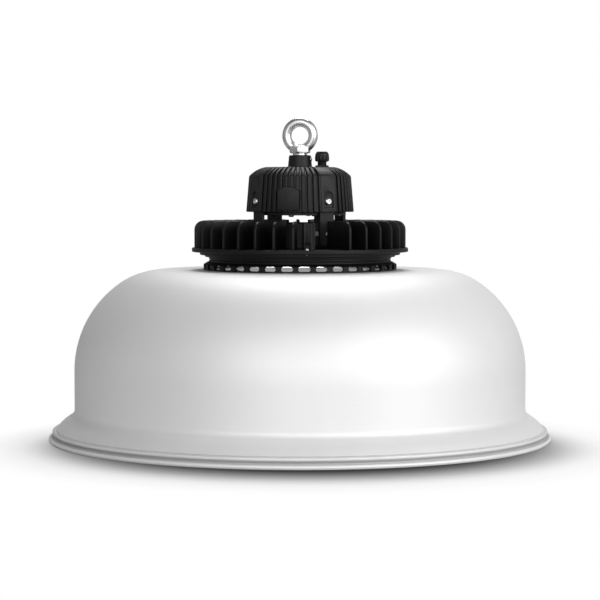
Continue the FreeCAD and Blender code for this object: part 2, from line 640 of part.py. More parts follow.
def ring_of_holes(body, level, radius, circle_radius, count, depth, turn=0, back=False):
    """A ring of upright holes cut from a level, upwards or downwards. The ring starts
    at +X, or at a turn counter-clockwise from it."""
    sketch = new_sketch(body, "XY_Plane", out=level, side=f"( {circle_radius} ) * cos( {turn} )",
                        rise=f"( {circle_radius} ) * sin( {turn} )")
    circle(sketch, radius)
    return around(body, cut(body, sketch, depth, back=back), count)


BEZEL_TURN = "180 / bezel_screw_count"
LED_TURN = "180 / led_screw_count"


def bezel_stack_holes(body, level, depth):
    """Clearance holes for the bezel screws and the collar screws."""
    ring_of_holes(body, level, "small_screw_radius + hole_clearance", "bezel_screw_circle",
                  "bezel_screw_count", depth, turn=BEZEL_TURN)
    ring_of_holes(body, level, "leg_screw_radius + hole_clearance", "bezel_screw_circle",
                  "collar_screw_count", depth)


def make_bezel():
    body = new_body("bezel_ring")
    sketch = new_sketch(body)
    inside = "lens_radius + hole_clearance"
    outline(sketch,
            ("light_opening", "bezel_foot"), ("bezel_radius", "bezel_foot"),
            ("bezel_radius", "bezel_foot + bezel_height * 0.3"),
            ("bezel_radius - bezel_groove", "bezel_foot + bezel_height * 0.38"),
            ("bezel_radius - bezel_groove", "bezel_foot + bezel_height * 0.52"),
            ("bezel_radius", "bezel_foot + bezel_height * 0.6"),
            ("bezel_radius", "bezel_top"), (inside, "bezel_top"),
            (inside, "lens_foot"), ("light_opening", "lens_foot"))
    turned(body, sketch)
    bezel_stack_holes(body, "bezel_foot", "bezel_lip")
    ring_of_holes(body, "bezel_foot", "small_head_radius + hole_clearance", "bezel_screw_circle",
                  "bezel_screw_count", "bezel_lip - bezel_seat", turn=BEZEL_TURN)
    return body


def make_lens():
    body = new_body("lens_plate")
    sketch = new_sketch(body)
    rectangle(sketch, 0, "lens_radius", "lens_foot", "lens_top")
    turned(body, sketch)
    bezel_stack_holes(body, "lens_foot", "lens_thickness")
    return body


def make_lens_gasket():
    body = new_body("lens_gasket")
    sketch = new_sketch(body)
    rectangle(sketch, "lens_gasket_inside", "lens_radius", "lens_top", "bezel_top")
    turned(body, sketch)
    bezel_stack_holes(body, "lens_top", "bezel_top - lens_top")
    return body


def make_led_board():
    body = new_body("led_board")
    sketch = new_sketch(body)
    rectangle(sketch, 0, "led_recess_radius - hole_clearance", "led_recess_top - board_thickness",
              "led_recess_top")
    turned(body, sketch)
    ring_of_holes(body, "led_recess_top - board_thickness", "small_screw_radius + hole_clearance",
                  "led_screw_circle", "led_screw_count", "board_thickness", turn=LED_TURN)
    return body


def make_led_chips():
    """LED packages in three rings of 12, 24 and 24, all facing down."""
    body = new_body("led_chips")
    for ring, count in enumerate((12, 24, 24), start=1):
        sketch = new_sketch(body, "XY_Plane", out="led_recess_top - board_thickness",
                            side=f"chip_ring_pitch * ( {ring} + 0.4 )")
        rectangle(sketch, "-1 * chip_side / 2", "chip_side / 2", "-1 * chip_side / 2",
                  "chip_side / 2")
        around(body, raised(body, sketch, "chip_height", back=True), count)
    return body


def make_heat_sink():
    """Casting: stepped disc with a flange, radial fins with a gap of two, a core wall and a
    fluted boss in the gap."""
    body = new_body("heat_sink")
    sketch = new_sketch(body)
    outline(sketch,
            (0, "led_recess_top"), ("led_recess_radius", "led_recess_top"),
            ("led_recess_radius", "bezel_top"), ("step_radius", "bezel_top"),
            ("step_radius", "bezel_top + step_height"), ("web_radius", "bezel_top + step_height"),
            ("web_radius", "flange_foot"), ("flange_radius", "flange_foot"),
            ("flange_radius", "flange_top"), ("core_radius", "flange_top"),
            ("core_radius", "flange_top + core_height"),
            ("core_radius - core_wall", "flange_top + core_height"),
            ("core_radius - core_wall", "flange_top"), (0, "flange_top"))
    turned(body, sketch)
    boss = new_sketch(body, turn="boss_bearing", out="boss_outside - boss_depth")
    rectangle(boss, "-1 * boss_width / 2", "boss_width / 2", "flange_top - fin_root",
              "flange_top + boss_height")
    raised(body, boss, "boss_depth")
    flutes = new_sketch(body, turn="boss_bearing", out="boss_outside - 1")
    for place in (-1, 0, 1):
        rectangle(flutes, f"boss_flute * {2 * place - 0.5}", f"boss_flute * {2 * place + 0.5}",
                  "flange_top", "flange_top + boss_height + 1")
    cut(body, flutes, "2")
    notch = new_sketch(body, turn="boss_bearing", out="boss_outside - notch_depth")
    arch(notch, "notch_width / 2", "flange_top", "flange_top + notch_height",
         across="-1 * notch_shift")
    cut(body, notch, "notch_depth + 1")
    ring_of_holes(body, "bezel_top", "small_screw_radius + thread_clearance",
                  "bezel_screw_circle", "bezel_screw_count", "bezel_screw_grip + 2",
                  turn=BEZEL_TURN)
    ring_of_holes(body, "bezel_top", "leg_screw_radius + thread_clearance",
                  "bezel_screw_circle", "collar_screw_count", "leg_screw_grip + drill_run")
    ring_of_holes(body, "led_recess_top", "small_screw_radius + thread_clearance",
                  "led_screw_circle", "led_screw_count", "led_screw_grip + drill_run",
                  turn=LED_TURN)
    ring_of_holes(body, "flange_top", "leg_screw_radius + thread_clearance",
                  "leg_radius - leg_foot / 2", 4, "leg_screw_grip + drill_run", turn=45, back=True)
    across, along = at_bearing("lead_offset", "lead_bearing")
    seat = new_sketch(body, "XY_Plane", out="flange_top", side=across, rise=along)
    circle(seat, "lead_hole")
    cut(body, seat, "grommet_depth", back=True)
    bore = new_sketch(body, "XY_Plane", out="flange_top", side=across, rise=along)
    circle(bore, "lead_radius + hole_clearance")
    cut(body, bore, "flange_top - led_recess_top + 1", back=True)
    across, along = notch_screw_place()
    hole = new_sketch(body, "XY_Plane", out="flange_top", side=across, rise=along)
    circle(hole, "small_screw_radius + thread_clearance")
    cut(body, hole, "boss_screw_length + drill_run", back=True)
    fin = new_sketch(body, turn="bay_bearing + 540 / fin_places - 90")
    outline(fin,
            ("fin_inside", "flange_top - fin_root"), ("fin_outside", "flange_top - fin_root"),
            ("fin_outside", "fin_top - fin_corner", "fin_corner"),
            ("fin_outside - fin_corner", "fin_top"), ("fin_inside", "fin_top"))
    around(body, raised(body, fin, "fin_thickness", middle=True), "fin_places - 2",
           turn="360 * ( fin_places - 3 ) / fin_places")
    return body


def notch_screw_place():
    """Plan coordinates of the screw in the fluted boss's notch."""
    reach = "( boss_outside - notch_depth / 2 )"
    across = f"{reach} * sin( boss_bearing ) - notch_shift * cos( boss_bearing )"
    along = f"-1 * {reach} * cos( boss_bearing ) - notch_shift * sin( boss_bearing )"
    return across, along


# ---------------------------------------------------------------- driver

def make_leg(index):
    """Bent strip that carries the driver: its foot is on the flange, its top is in a slot."""
    body = new_body(f"driver_leg_{index}", turn=45 + 90 * (index - 1) - 90)
    sketch = new_sketch(body)
    outside = "leg_radius + leg_thickness"
    inner_bend = "leg_bend - leg_thickness"
    outline(sketch,
            ("leg_radius - leg_foot", "flange_top"),
            (f"{outside} - leg_bend", "flange_top", "leg_bend"),
            (outside, "flange_top + leg_bend"),
            (outside, "leg_top"), ("leg_radius", "leg_top"),
            ("leg_radius", "flange_top + leg_bend", f"-1 * ( {inner_bend} )"),
            (f"leg_radius - ( {inner_bend} )", "flange_top + leg_thickness"),
            ("leg_radius - leg_foot", "flange_top + leg_thickness"))
    raised(body, sketch, "leg_width", middle=True)
    foot_hole = new_sketch(body, "XY_Plane", out="flange_top", side="leg_radius - leg_foot / 2")
    circle(foot_hole, "leg_screw_radius + hole_clearance")
    cut(body, foot_hole, "leg_thickness")
    top_hole = new_sketch(body, "YZ_Plane", out="leg_radius - 1", rise="leg_screw_height")
    circle(top_hole, "leg_screw_radius + thread_clearance")
    cut(body, top_hole, "leg_thickness + 2")
    if index == 1:
        pin_hole = new_sketch(body, "YZ_Plane", out="leg_radius - 1",
                              rise="flange_top + clip_height + clip_thickness / 2")
        circle(pin_hole, "clip_arm_width / 2", across=CLIP_SIDE)
        cut(body, pin_hole, "leg_thickness + 2")
    return body


CLIP_SIDE = "lead_offset * sin( lead_bearing - 45 )"


def rib_section(sketch):
    """Section of a rib or land, rooted in the housing's wall."""
    root = "rib_depth + rib_root"
    outline(sketch,
            (f"housing_foot_radius - {root}", "housing_foot"),
            ("housing_foot_radius", "housing_foot"),
            ("housing_waist_radius", "waist_height", "housing_shoulder_bend"),
            ("housing_top_radius", "housing_top"),
            ("housing_top_radius - 2", "housing_top"),
            ("housing_top_radius - 2", f"housing_top - {root}"),
            (f"housing_waist_radius - {root}", "waist_height"))


def make_housing():
    """Cast driver housing: hollow, ribbed, with flat lands over the legs, a label pad and a
    threaded boss on top."""
    body = new_body("driver_housing")
    sketch = new_sketch(body)
    outline(sketch,
            (0, "housing_foot"), ("housing_foot_radius - rib_depth", "housing_foot"),
            ("housing_waist_radius - rib_depth", "waist_height", "housing_shoulder_bend"),
            ("housing_top_radius", "housing_top - rib_depth * 0.8"),
            ("housing_top_radius - 4", "housing_top"), ("boss_foot_radius", "housing_top"),
            ("boss_top_radius", "boss_seat"), (0, "boss_seat"))
    turned(body, sketch)
    land = new_sketch(body, turn="45 - 90")
    rib_section(land)
    around(body, raised(body, land, "land_width", middle=True), 4)
    pad = new_sketch(body)
    half = "pad_width / 2"
    foot = "housing_foot + pad_sill"
    spring = "housing_foot + pad_sill + pad_height - pad_arch_rise"
    outline(pad, (f"-1 * {half}", foot), (half, foot), (half, spring, "pad_arch_bend"),
            (f"-1 * {half}", spring))
    raised(body, pad, "pad_face")

    hollow = new_sketch(body)
    outline(hollow,
            (0, "housing_foot - 1"), ("cavity_radius", "housing_foot - 1"),
            ("cavity_radius - 1.5", "cavity_top - cavity_bend", "cavity_bend"),
            ("cavity_radius - 1.5 - cavity_bend", "cavity_top"),
            ("inner_boss_radius", "cavity_top"), ("inner_boss_radius", "inner_boss_foot"),
            (0, "inner_boss_foot"))
    turned(body, hollow, kind="PartDesign::Groove")
    post = new_sketch(body, "XY_Plane", out="housing_foot", side="cover_screw_circle")
    circle(post, "screw_post_radius")
    around(body, raised(body, post, "screw_post_height"), 4)
    ring_of_holes(body, "housing_foot", "small_screw_radius + thread_clearance",
                  "cover_screw_circle", 4, "small_screw_grip + 1")
    slot = new_sketch(body, turn="45 - 90")
    rectangle(slot, "leg_radius - slot_clearance", "leg_radius + leg_thickness + slot_clearance",
              "housing_foot - 1", "leg_top + slot_clearance")
    around(body, cut(body, slot, "leg_width + 2 * slot_clearance", middle=True), 4)
    recess = new_sketch(body, turn="45", out="recess_floor")
    arch(recess, "recess_width / 2", "housing_foot + recess_sill",
         "housing_foot + recess_sill + recess_height")
    around(body, cut(body, recess, "10"), 4)
    leg_hole = new_sketch(body, turn="45", out="leg_radius + leg_thickness")
    circle(leg_hole, "leg_screw_radius + hole_clearance", up="leg_screw_height")
    around(body, cut(body, leg_hole, "10"), 4)

    eye_hole = new_sketch(body, "XY_Plane", out="boss_seat")
    circle(eye_hole, "shank_radius + thread_clearance")
    cut(body, eye_hole, "shank_length - spring_washer_thickness + 1", back=True)
    grub_hole = new_sketch(body, turn="90", out="shank_radius - 1")
    circle(grub_hole, "grub_radius + thread_clearance", up="housing_top + grub_height")
    cut(body, grub_hole, "boss_foot_radius")
    gland_hole = new_sketch(body, "XY_Plane", out="housing_top", side="gland_offset")
    circle(gland_hole, "gland_thread_radius + thread_clearance")
    cut(body, gland_hole, "housing_top - cavity_top + 1", back=True)

    spread = "180 * ( ribs_between_lands - 1 ) / rib_count"
    rib = new_sketch(body, turn=f"-90 - {spread}")
    rib_section(rib)
    in_groups(body, raised(body, rib, "rib_width", middle=True), "ribs_between_lands",
              f"2 * {spread}", 4)
    return body


def make_cover():
    """Driver's base cover with four standoffs for the circuit board."""
    body = new_body("driver_base_cover")
    sketch = new_sketch(body)
    rectangle(sketch, 0, "cover_radius", "cover_foot", "cover_top")
    turned(body, sketch)
    standoff = new_sketch(body, "XY_Plane", out="cover_top - 1", side="standoff_circle")
    circle(standoff, "standoff_radius")
    around(body, raised(body, standoff, "standoff_height + 1"), 4)
    ring_of_holes(body, "driver_board_foot", "small_screw_radius + thread_clearance",
                  "standoff_circle", 4, "standoff_height", back=True)
    ring_of_holes(body, "cover_foot", "small_screw_radius + hole_clearance",
                  "cover_screw_circle", 4, "cover_thickness")
    across, along = at_bearing("lead_offset", "lead_bearing")
    hole = new_sketch(body, "XY_Plane", out="cover_foot", side=across, rise=along)
    circle(hole, "lead_hole")
    cut(body, hole, "cover_thickness")
    return body


def make_driver_gasket():
    body = new_body("driver_gasket")
    sketch = new_sketch(body)
    rectangle(sketch, "cavity_radius + 0.3", "cavity_radius + 0.3 + gasket_width",
              "cover_top", "housing_foot")
    turned(body, sketch)
    return body


def make_driver_board():
    body = new_body("driver_circuit_board")
    sketch = new_sketch(body)
    rectangle(sketch, 0, "driver_board_radius", "driver_board_foot", "driver_board_top")
    turned(body, sketch)
    ring_of_holes(body, "driver_board_foot", "small_screw_radius + hole_clearance",
                  "standoff_circle", 4, "board_thickness")
    return body


def make_transformer():
    """Ferrite frame with two windows, and the winding round its middle leg."""
    across, along = -6, 6
    core = new_body("transformer_core")
    frame = new_sketch(core, side=across, out=6 - along)
    rectangle(frame, -11, 11, "driver_board_top", "driver_board_top + 18")
    raised(core, frame, 12, back=True)
    windows = new_sketch(core, side=across, out=7 - along)
    for left, right in ((-8, -3), (3, 8)):
        rectangle(windows, left, right, "driver_board_top + 4", "driver_board_top + 14")
    cut(core, windows, 14, back=True)
    winding = new_body("transformer_winding")
    coil = new_sketch(winding, "XY_Plane", out="driver_board_top + 4.3", side=across, rise=along)
    rectangle(coil, -7.6, 7.6, -9, 9)
    rectangle(coil, -3.2, 3.2, -6.2, 6.2)
    raised(winding, coil, 9.4)


def make_components():
    """Choke, capacitors and terminal block on the driver's circuit board."""
    choke = new_body("choke")
    ring = new_sketch(choke, side=12, rise="driver_board_top", out=8)
    rectangle(ring, 3.2, 7.4, 0, 7)
    turned(choke, ring)
    cans = new_body("capacitors")
    foot = new_sketch(cans, "XY_Plane", out="driver_board_top")
    for across, along in ((-16, -9), (-6, -13), (-13.5, -18.2)):
        circle(foot, 4, across=across, up=along)
    raised(cans, foot, 15)
    block("terminal_block", 12, 9, 9, 14, 9, "driver_board_top")


def make_lead():
    """Lead from driver to lamp, its grommets, and the clip that holds it to a leg."""
    across, along = at_bearing("lead_offset", "lead_bearing")
    lead = doc.addObject("Part::Cylinder", "driver_lead")
    lead.Label = "driver_lead"
    lead.setExpression("Radius", linked("lead_radius"))
    lead.setExpression("Height", linked("cover_top + lead_entry - led_recess_top - 0.3"))
    lead.setExpression("Placement.Base.x", linked(across))
    lead.setExpression("Placement.Base.y", linked(along))
    lead.setExpression("Placement.Base.z", linked("led_recess_top + 0.3"))
    for label, foot, top, low_lip in (("upper_lead_grommet", "cover_foot", "cover_top", True),
                                      ("lower_lead_grommet", "flange_top - grommet_depth",
                                       "flange_top", False)):
        body = new_body(label)
        sketch = new_sketch(body, side=across, out=f"-1 * ( {along} )")
        lips = [("lead_hole", foot), ("lead_hole", top), ("lead_hole + grommet_lip", top),
                ("lead_hole + grommet_lip", f"{top} + grommet_lip"),
                ("lead_radius", f"{top} + grommet_lip")]
        if low_lip:
            lips = [("lead_radius", f"{foot} - grommet_lip"),
                    ("lead_hole + grommet_lip", f"{foot} - grommet_lip"),
                    ("lead_hole + grommet_lip", foot)] + lips
        else:
            lips = [("lead_radius", foot)] + lips
        outline(sketch, *lips)
        turned(body, sketch)

    clip = new_body("lead_clip", turn=-45)
    clip.setExpression("Placement.Base.x", linked(across))
    clip.setExpression("Placement.Base.y", linked(along))
    foot = "flange_top + clip_height"
    face = "leg_radius - lead_offset * cos( lead_bearing - 45 )"
    inner = "lead_radius + clip_clearance"
    band = new_sketch(clip, "XY_Plane", out=foot)
    circle(band, inner)
    circle(band, f"{inner} + clip_wall")
    raised(clip, band, "clip_thickness")
    arm = new_sketch(clip, "XY_Plane", out=foot)
    rectangle(arm, f"{inner} + clip_wall / 2", face, "-1 * clip_arm_width / 2",
              "clip_arm_width / 2")
    raised(clip, arm, "clip_thickness")
    pin_end = new_sketch(clip, "YZ_Plane", out=f"{face} - 1", rise=f"{foot} + clip_thickness / 2")
    circle(pin_end, "clip_arm_width / 2 - thread_clearance")
    raised(clip, pin_end, "leg_thickness + 1.8")


# ---------------------------------------------------------------- suspension and supply gland

def make_eye_bolt():
    """Forged eye with a hexagon foot and a threaded shank."""
    body = new_body("eye_bolt")
    body.setExpression("Placement.Base.z", linked("hexagon_foot + eye_centre_height"))
    ring = new_sketch(body, "YZ_Plane")
    middle = "eye_radius - eye_wire_radius"
    flat = f"{middle} - sqrt( eye_wire_radius * eye_wire_radius - eye_land * eye_land / 4 )"
    outline(ring,
            ("-1 * eye_land / 2", flat), ("eye_land / 2", flat, "eye_wire_radius"),
            ("eye_wire_radius", middle, "eye_wire_radius"),
            (0, "eye_radius", "eye_wire_radius"),
            ("-1 * eye_wire_radius", middle, "eye_wire_radius"))
    turned(body, ring, axis="H_Axis")
    hexagon_face = new_sketch(body, "XY_Plane", out="-1 * eye_centre_height")
    hexagon(hexagon_face, "hexagon_flats")
    raised(body, hexagon_face, "hexagon_height")
    neck = new_sketch(body)
    outline(neck,
            (0, "hexagon_height - eye_centre_height - 1"),
            ("hexagon_flats * 0.45", "hexagon_height - eye_centre_height - 1"),
            ("hexagon_flats * 0.45", "hexagon_height - eye_centre_height"),
            ("hexagon_flats * 0.36", "hexagon_height - eye_centre_height + 1.2"),
            (0, "hexagon_height - eye_centre_height + 1.2"))
    turned(body, neck)
    shank = new_sketch(body, "XY_Plane", out="-1 * eye_centre_height")
    circle(shank, "shank_radius")
    raised(body, shank, "shank_length", back=True)
    return body


def make_washer_and_grub():
    washer = new_body("spring_washer")
    section = new_sketch(washer, rise="boss_seat")
    rectangle(section, "shank_radius + hole_clearance", "spring_washer_radius", 0,
              "spring_washer_thickness")
    turned(washer, section)
    split = new_sketch(washer, "XY_Plane", out="boss_seat")
    rectangle(split, "-1 * spring_washer_split / 2", "spring_washer_split / 2",
              "-2 * spring_washer_radius", "-1 * shank_radius / 2")
    cut(washer, split, "spring_washer_thickness")

    grub = new_body("grub_screw")
    sketch = new_sketch(grub, rise="housing_top + grub_height")
    tip = "shank_radius + 2 * thread_clearance"
    face = "boss_top_radius + grub_stand"
    outline(sketch,
            (tip, 0), (f"{face} - socket_depth", 0),
            (f"{face} - socket_depth", "grub_radius * 0.55"), (face, "grub_radius * 0.55"),
            (face, "grub_radius"), (tip, "grub_radius"))
    turned(grub, sketch, axis="H_Axis")


def make_gland():
    """Supply gland: body with a hexagon foot, cap, seal, and locknut inside the housing."""
    stem = new_body("cable_gland_body")
    tube = new_sketch(stem, side="gland_offset")
    thread_foot = "cavity_top - locknut_height - 1"
    outline(tube,
            ("gland_entry_radius", thread_foot), ("gland_thread_radius", thread_foot),
            ("gland_thread_radius", "housing_top"),
            ("gland_thread_radius", "housing_top + gland_foot_height"),
            ("gland_neck_radius", "housing_top + gland_foot_height"),
            ("gland_neck_radius", "gland_neck_top"), ("gland_bore", "gland_neck_top"),
            ("gland_bore", "gland_seal_foot"), ("gland_entry_radius", "gland_seal_foot"))
    turned(stem, tube)
    foot = new_sketch(stem, "XY_Plane", out="housing_top", side="gland_offset")
    hexagon(foot, "gland_foot_flats")
    circle(foot, "gland_thread_radius - 1")
    raised(stem, foot, "gland_foot_height")

    cap = new_body("cable_gland_cap")
    shell = new_sketch(cap, side="gland_offset")
    inside = "gland_neck_radius + thread_clearance"
    outline(shell,
            (inside, "gland_cap_foot"), ("gland_cap_radius * 0.9", "gland_cap_foot"),
            ("gland_cap_radius", "gland_cap_foot + gland_cap_height * 0.25"),
            ("gland_cap_radius", "gland_cap_foot + gland_cap_height * 0.5"),
            ("gland_cap_top_radius", "gland_cap_top"),
            ("gland_entry_radius", "gland_cap_top"),
            ("gland_entry_radius", "gland_cap_top - 1.2"),
            (inside, "gland_cap_top - 2.2"))
    turned(cap, shell)

    seal = new_body("cable_gland_seal")
    ring = new_sketch(seal, side="gland_offset")
    rectangle(ring, "gland_entry_radius", "gland_entry_radius + gland_seal_wall",
              "gland_seal_foot", "gland_seal_foot + gland_seal_height")
    turned(seal, ring)

    nut = new_body("cable_gland_locknut")
    face = new_sketch(nut, "XY_Plane", out="cavity_top - locknut_height", side="gland_offset")
    hexagon(face, "locknut_flats")
    circle(face, "gland_thread_radius + thread_clearance")
    raised(nut, face, "locknut_height")


# ---------------------------------------------------------------- fasteners

def make_screws():
    small = {"radius": "small_screw_radius", "head": "small_head_radius",
             "rise": "small_head_height"}
    flush = dict(small, rise="bezel_lip - bezel_seat")
    upright_screws("leg_base_screws", "leg_radius - leg_foot / 2", 4,
                   "flange_top + leg_thickness", "leg_thickness + leg_screw_grip", turn=45)
    upright_screws("bezel_screws", "bezel_screw_circle", "bezel_screw_count",
                   "bezel_foot + bezel_lip - bezel_seat", "bezel_top - bezel_foot + bezel_screw_grip",
                   down=True, turn=BEZEL_TURN, **flush)
    upright_screws("collar_screws", "bezel_screw_circle", "collar_screw_count",
                   "bezel_foot - collar_sheet", "collar_sheet + bezel_height + leg_screw_grip",
                   down=True)
    upright_screws("led_board_screws", "led_screw_circle", "led_screw_count",
                   "led_recess_top - board_thickness", "board_thickness + led_screw_grip",
                   down=True, turn=LED_TURN, **dict(small, rise="led_head_height"))
    upright_screws("driver_cover_screws", "cover_screw_circle", 4, "cover_foot",
                   "housing_foot - cover_foot + small_screw_grip", down=True, **small)
    upright_screws("driver_board_screws", "standoff_circle", 4, "driver_board_top",
                   "board_thickness + standoff_height - 1", **small)

    across, along = notch_screw_place()
    notch_screw = new_body("boss_screw")
    sketch = new_sketch(notch_screw, side=across, out=f"-1 * ( {along} )", rise="flange_top")
    screw_profile(sketch, "small_screw_radius", "small_head_radius", "small_head_height",
                  "boss_screw_length")
    turned(notch_screw, sketch)

    leg_screws = new_body("leg_top_screws", turn=45)
    sketch = new_sketch(leg_screws, "YZ_Plane", side="-1 * recess_floor", rise="leg_screw_height")
    end = "recess_floor - leg_radius - 0.2"
    outline(sketch,
            (end, 0), (end, "leg_screw_radius"), (0, "leg_screw_radius"), (0, "leg_head_radius"),
            ("-0.45 * leg_head_height", "leg_head_radius"),
            ("-1 * leg_head_height", "0.78 * leg_head_radius"),
            ("-1 * leg_head_height", "socket_radius"),
            ("socket_depth - leg_head_height", "socket_radius"),
            ("socket_depth - leg_head_height", 0))
    around(leg_screws, turned(leg_screws, sketch, axis="H_Axis"), 4)


# ---------------------------------------------------------------- the whole light

make_reflector()
make_collar()
make_rivets()
make_bezel()
make_lens()
make_lens_gasket()
make_led_board()
make_led_chips()
make_heat_sink()
for leg_index in (1, 2, 3, 4):
    make_leg(leg_index)
make_housing()
make_cover()
make_driver_gasket()
make_driver_board()
make_transformer()
make_components()
make_lead()
make_eye_bolt()
make_washer_and_grub()
make_gland()
make_screws()
doc.recompute()

PIECES = [item for item in doc.Objects
          if item.TypeId in ("PartDesign::Body", "Part::Box", "Part::Cylinder")]

for item in doc.Objects:
    if "Invalid" in item.State or "Error" in item.State:
        raise RuntimeError(f"{item.Label} did not build: {item.State}")
for piece in PIECES:
    if piece.Shape.isNull() or not piece.Shape.isValid():
        raise RuntimeError(f"{piece.Label} has no valid shape")

os.makedirs("parts", exist_ok=True)
for piece in PIECES:
    piece.Shape.exportStep(f"parts/{piece.Label}.step")
    print(f"{piece.Label}: {len(piece.Shape.Solids)} solid(s), {piece.Shape.Volume:.0f} mm3")
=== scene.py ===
import json
import math

import bmesh
import bpy
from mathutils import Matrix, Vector


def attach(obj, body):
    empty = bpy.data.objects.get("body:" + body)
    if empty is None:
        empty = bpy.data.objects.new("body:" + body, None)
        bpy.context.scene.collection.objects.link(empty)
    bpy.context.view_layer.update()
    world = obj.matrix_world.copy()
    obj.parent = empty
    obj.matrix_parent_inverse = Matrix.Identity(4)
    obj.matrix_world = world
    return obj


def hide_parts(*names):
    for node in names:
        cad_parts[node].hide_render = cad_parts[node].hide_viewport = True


# High bay light: finishes, finer pieces and a plain studio. Metres, +Z up, -Y is the side
# with the label pad. A bearing is the angle round the Z axis from -Y towards +X, in degrees.

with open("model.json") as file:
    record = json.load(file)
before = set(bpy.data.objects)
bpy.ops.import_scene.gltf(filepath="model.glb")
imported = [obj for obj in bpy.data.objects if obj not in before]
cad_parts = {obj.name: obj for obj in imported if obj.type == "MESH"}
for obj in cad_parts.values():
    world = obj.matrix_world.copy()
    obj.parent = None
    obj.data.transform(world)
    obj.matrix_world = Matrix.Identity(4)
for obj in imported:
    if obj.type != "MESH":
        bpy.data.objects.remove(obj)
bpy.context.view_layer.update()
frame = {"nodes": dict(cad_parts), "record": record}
nodes = frame["nodes"]

MM = 0.001
FULL_TURN = 2 * math.pi
SPIN_SIDE = -1                 # spin turns clockwise, while bearings grow the other way
VIEW = math.radians(12.5)      # bearing of the camera


# ---------------------------------------------------------------- shader sums

class Signal:
    """What comes out of a shader node, so that finishes are written as sums."""

    def __init__(self, finish, socket):
        self.finish = finish
        self.socket = socket

    def math(self, operation, *values):
        return self.finish.node("Math", {"operation": operation}, dict(enumerate(values)))["Value"]

    def __add__(self, other):
        return self.math("ADD", self, other)

    __radd__ = __add__

    def __sub__(self, other):
        return self.math("SUBTRACT", self, other)

    def __rsub__(self, other):
        return self.math("SUBTRACT", other, self)

    def __mul__(self, other):
        return self.math("MULTIPLY", self, other)

    __rmul__ = __mul__

    def __pow__(self, other):
        return self.math("POWER", self, other)

    def wave(self):
        return self.math("SINE", self)

    def unsigned(self):
        return self.math("ABSOLUTE", self)

    def at_least(self, other):
        return self.math("MAXIMUM", self, other)

    def over(self, start, end):
        """0 up to start, 1 from end, and smooth between them."""
        settings = {"interpolation_type": "SMOOTHSTEP"}
        inputs = {"Value": self, "From Min": start, "From Max": end}
        return self.finish.node("MapRange", settings, inputs)["Result"]


class Outputs:
    """The outputs of one shader node, by name."""

    def __init__(self, finish, node):
        self.finish = finish
        self.node = node

    def __getitem__(self, name):
        return Signal(self.finish, self.node.outputs[name])


class Finish:
    """One procedural material, or the studio's surroundings."""

    def __init__(self, name, surroundings=False):
        kind = bpy.data.worlds if surroundings else bpy.data.materials
        self.material = kind.new(name)
        self.material.use_nodes = True
        self.tree = self.material.node_tree
        self.shader = self.tree.nodes["Background" if surroundings else "Principled BSDF"]
        self.place = self.node("TexCoord")["Generated" if surroundings else "Object"]

    def node(self, kind, settings=None, inputs=None):
        """Adds a node: its settings first, then the values or links of its sockets."""
        made = self.tree.nodes.new("ShaderNode" + kind)
        for name, value in (settings or {}).items():
            setattr(made, name, value)
        for name, value in (inputs or {}).items():
            self.feed(made.inputs[name], value)
        return Outputs(self, made)

    def feed(self, socket, value):
        if isinstance(value, Signal):
            self.tree.links.new(value.socket, socket)
        elif isinstance(value, (tuple, list)) and len(value) == 3 and socket.type == "RGBA":
            socket.default_value = (*value, 1.0)
        else:
            socket.default_value = value

    def set(self, **inputs):
        """Feeds the main shader; a name's underscores stand for spaces."""
        for name, value in inputs.items():
            self.feed(self.shader.inputs[name.replace("_", " ")], value)
        return self

    def noise(self, size, detail=2.0):
        """Noise whose features are about that many millimetres across."""
        inputs = {"Vector": self.place, "Scale": 1 / (size * MM), "Detail": detail}
        return self.node("TexNoise", {}, inputs)["Fac"]

    def lines(self, along, size, detail=2.0):
        """Noise along one number, for turned lines about that many millimetres apart."""
        inputs = {"W": along, "Scale": 1 / (size * MM), "Detail": detail}
        return self.node("TexNoise", {"noise_dimensions": "1D"}, inputs)["Fac"]

    def axes(self):
        split = self.node("SeparateXYZ", {}, {"Vector": self.place})
        return split["X"], split["Y"], split["Z"]

    def radius(self):
        across, along, up = self.axes()
        return (across * across + along * along) ** 0.5

    def studio_axes(self):
        """How far to the right, to the front and up, as the studio is set up."""
        across, along, up = self.axes()
        right = across * math.cos(VIEW) + along * math.sin(VIEW)
        front = across * math.sin(VIEW) - along * math.cos(VIEW)
        return right, front, up

    def blend(self, factor, first, second):
        """A colour between two colours."""
        made = self.tree.nodes.new("ShaderNodeMix")
        made.data_type = "RGBA"
        self.feed(made.inputs[0], factor)
        self.feed(made.inputs[6], first)
        self.feed(made.inputs[7], second)
        return Signal(self, made.outputs[2])

    def bump(self, height, depth, strength=1.0, rounding=0.0):
        """Relief of that depth in millimetres, over edges rounded by so many millimetres."""
        inputs = {"Height": height, "Strength": strength, "Distance": depth * MM}
        if rounding:
            edges = self.node("Bevel", {"samples": 6}, {"Radius": rounding * MM})
            inputs["Normal"] = edges["Normal"]
        return self.set(Normal=self.node("Bump", {}, inputs)["Normal"])


def band(height, rise, fall):
    """1 between two heights; it rises and falls over pairs of heights in millimetres."""
    foot = height.over(rise[0] * MM, rise[1] * MM)
    return foot * (1 - height.over(fall[0] * MM, fall[1] * MM))


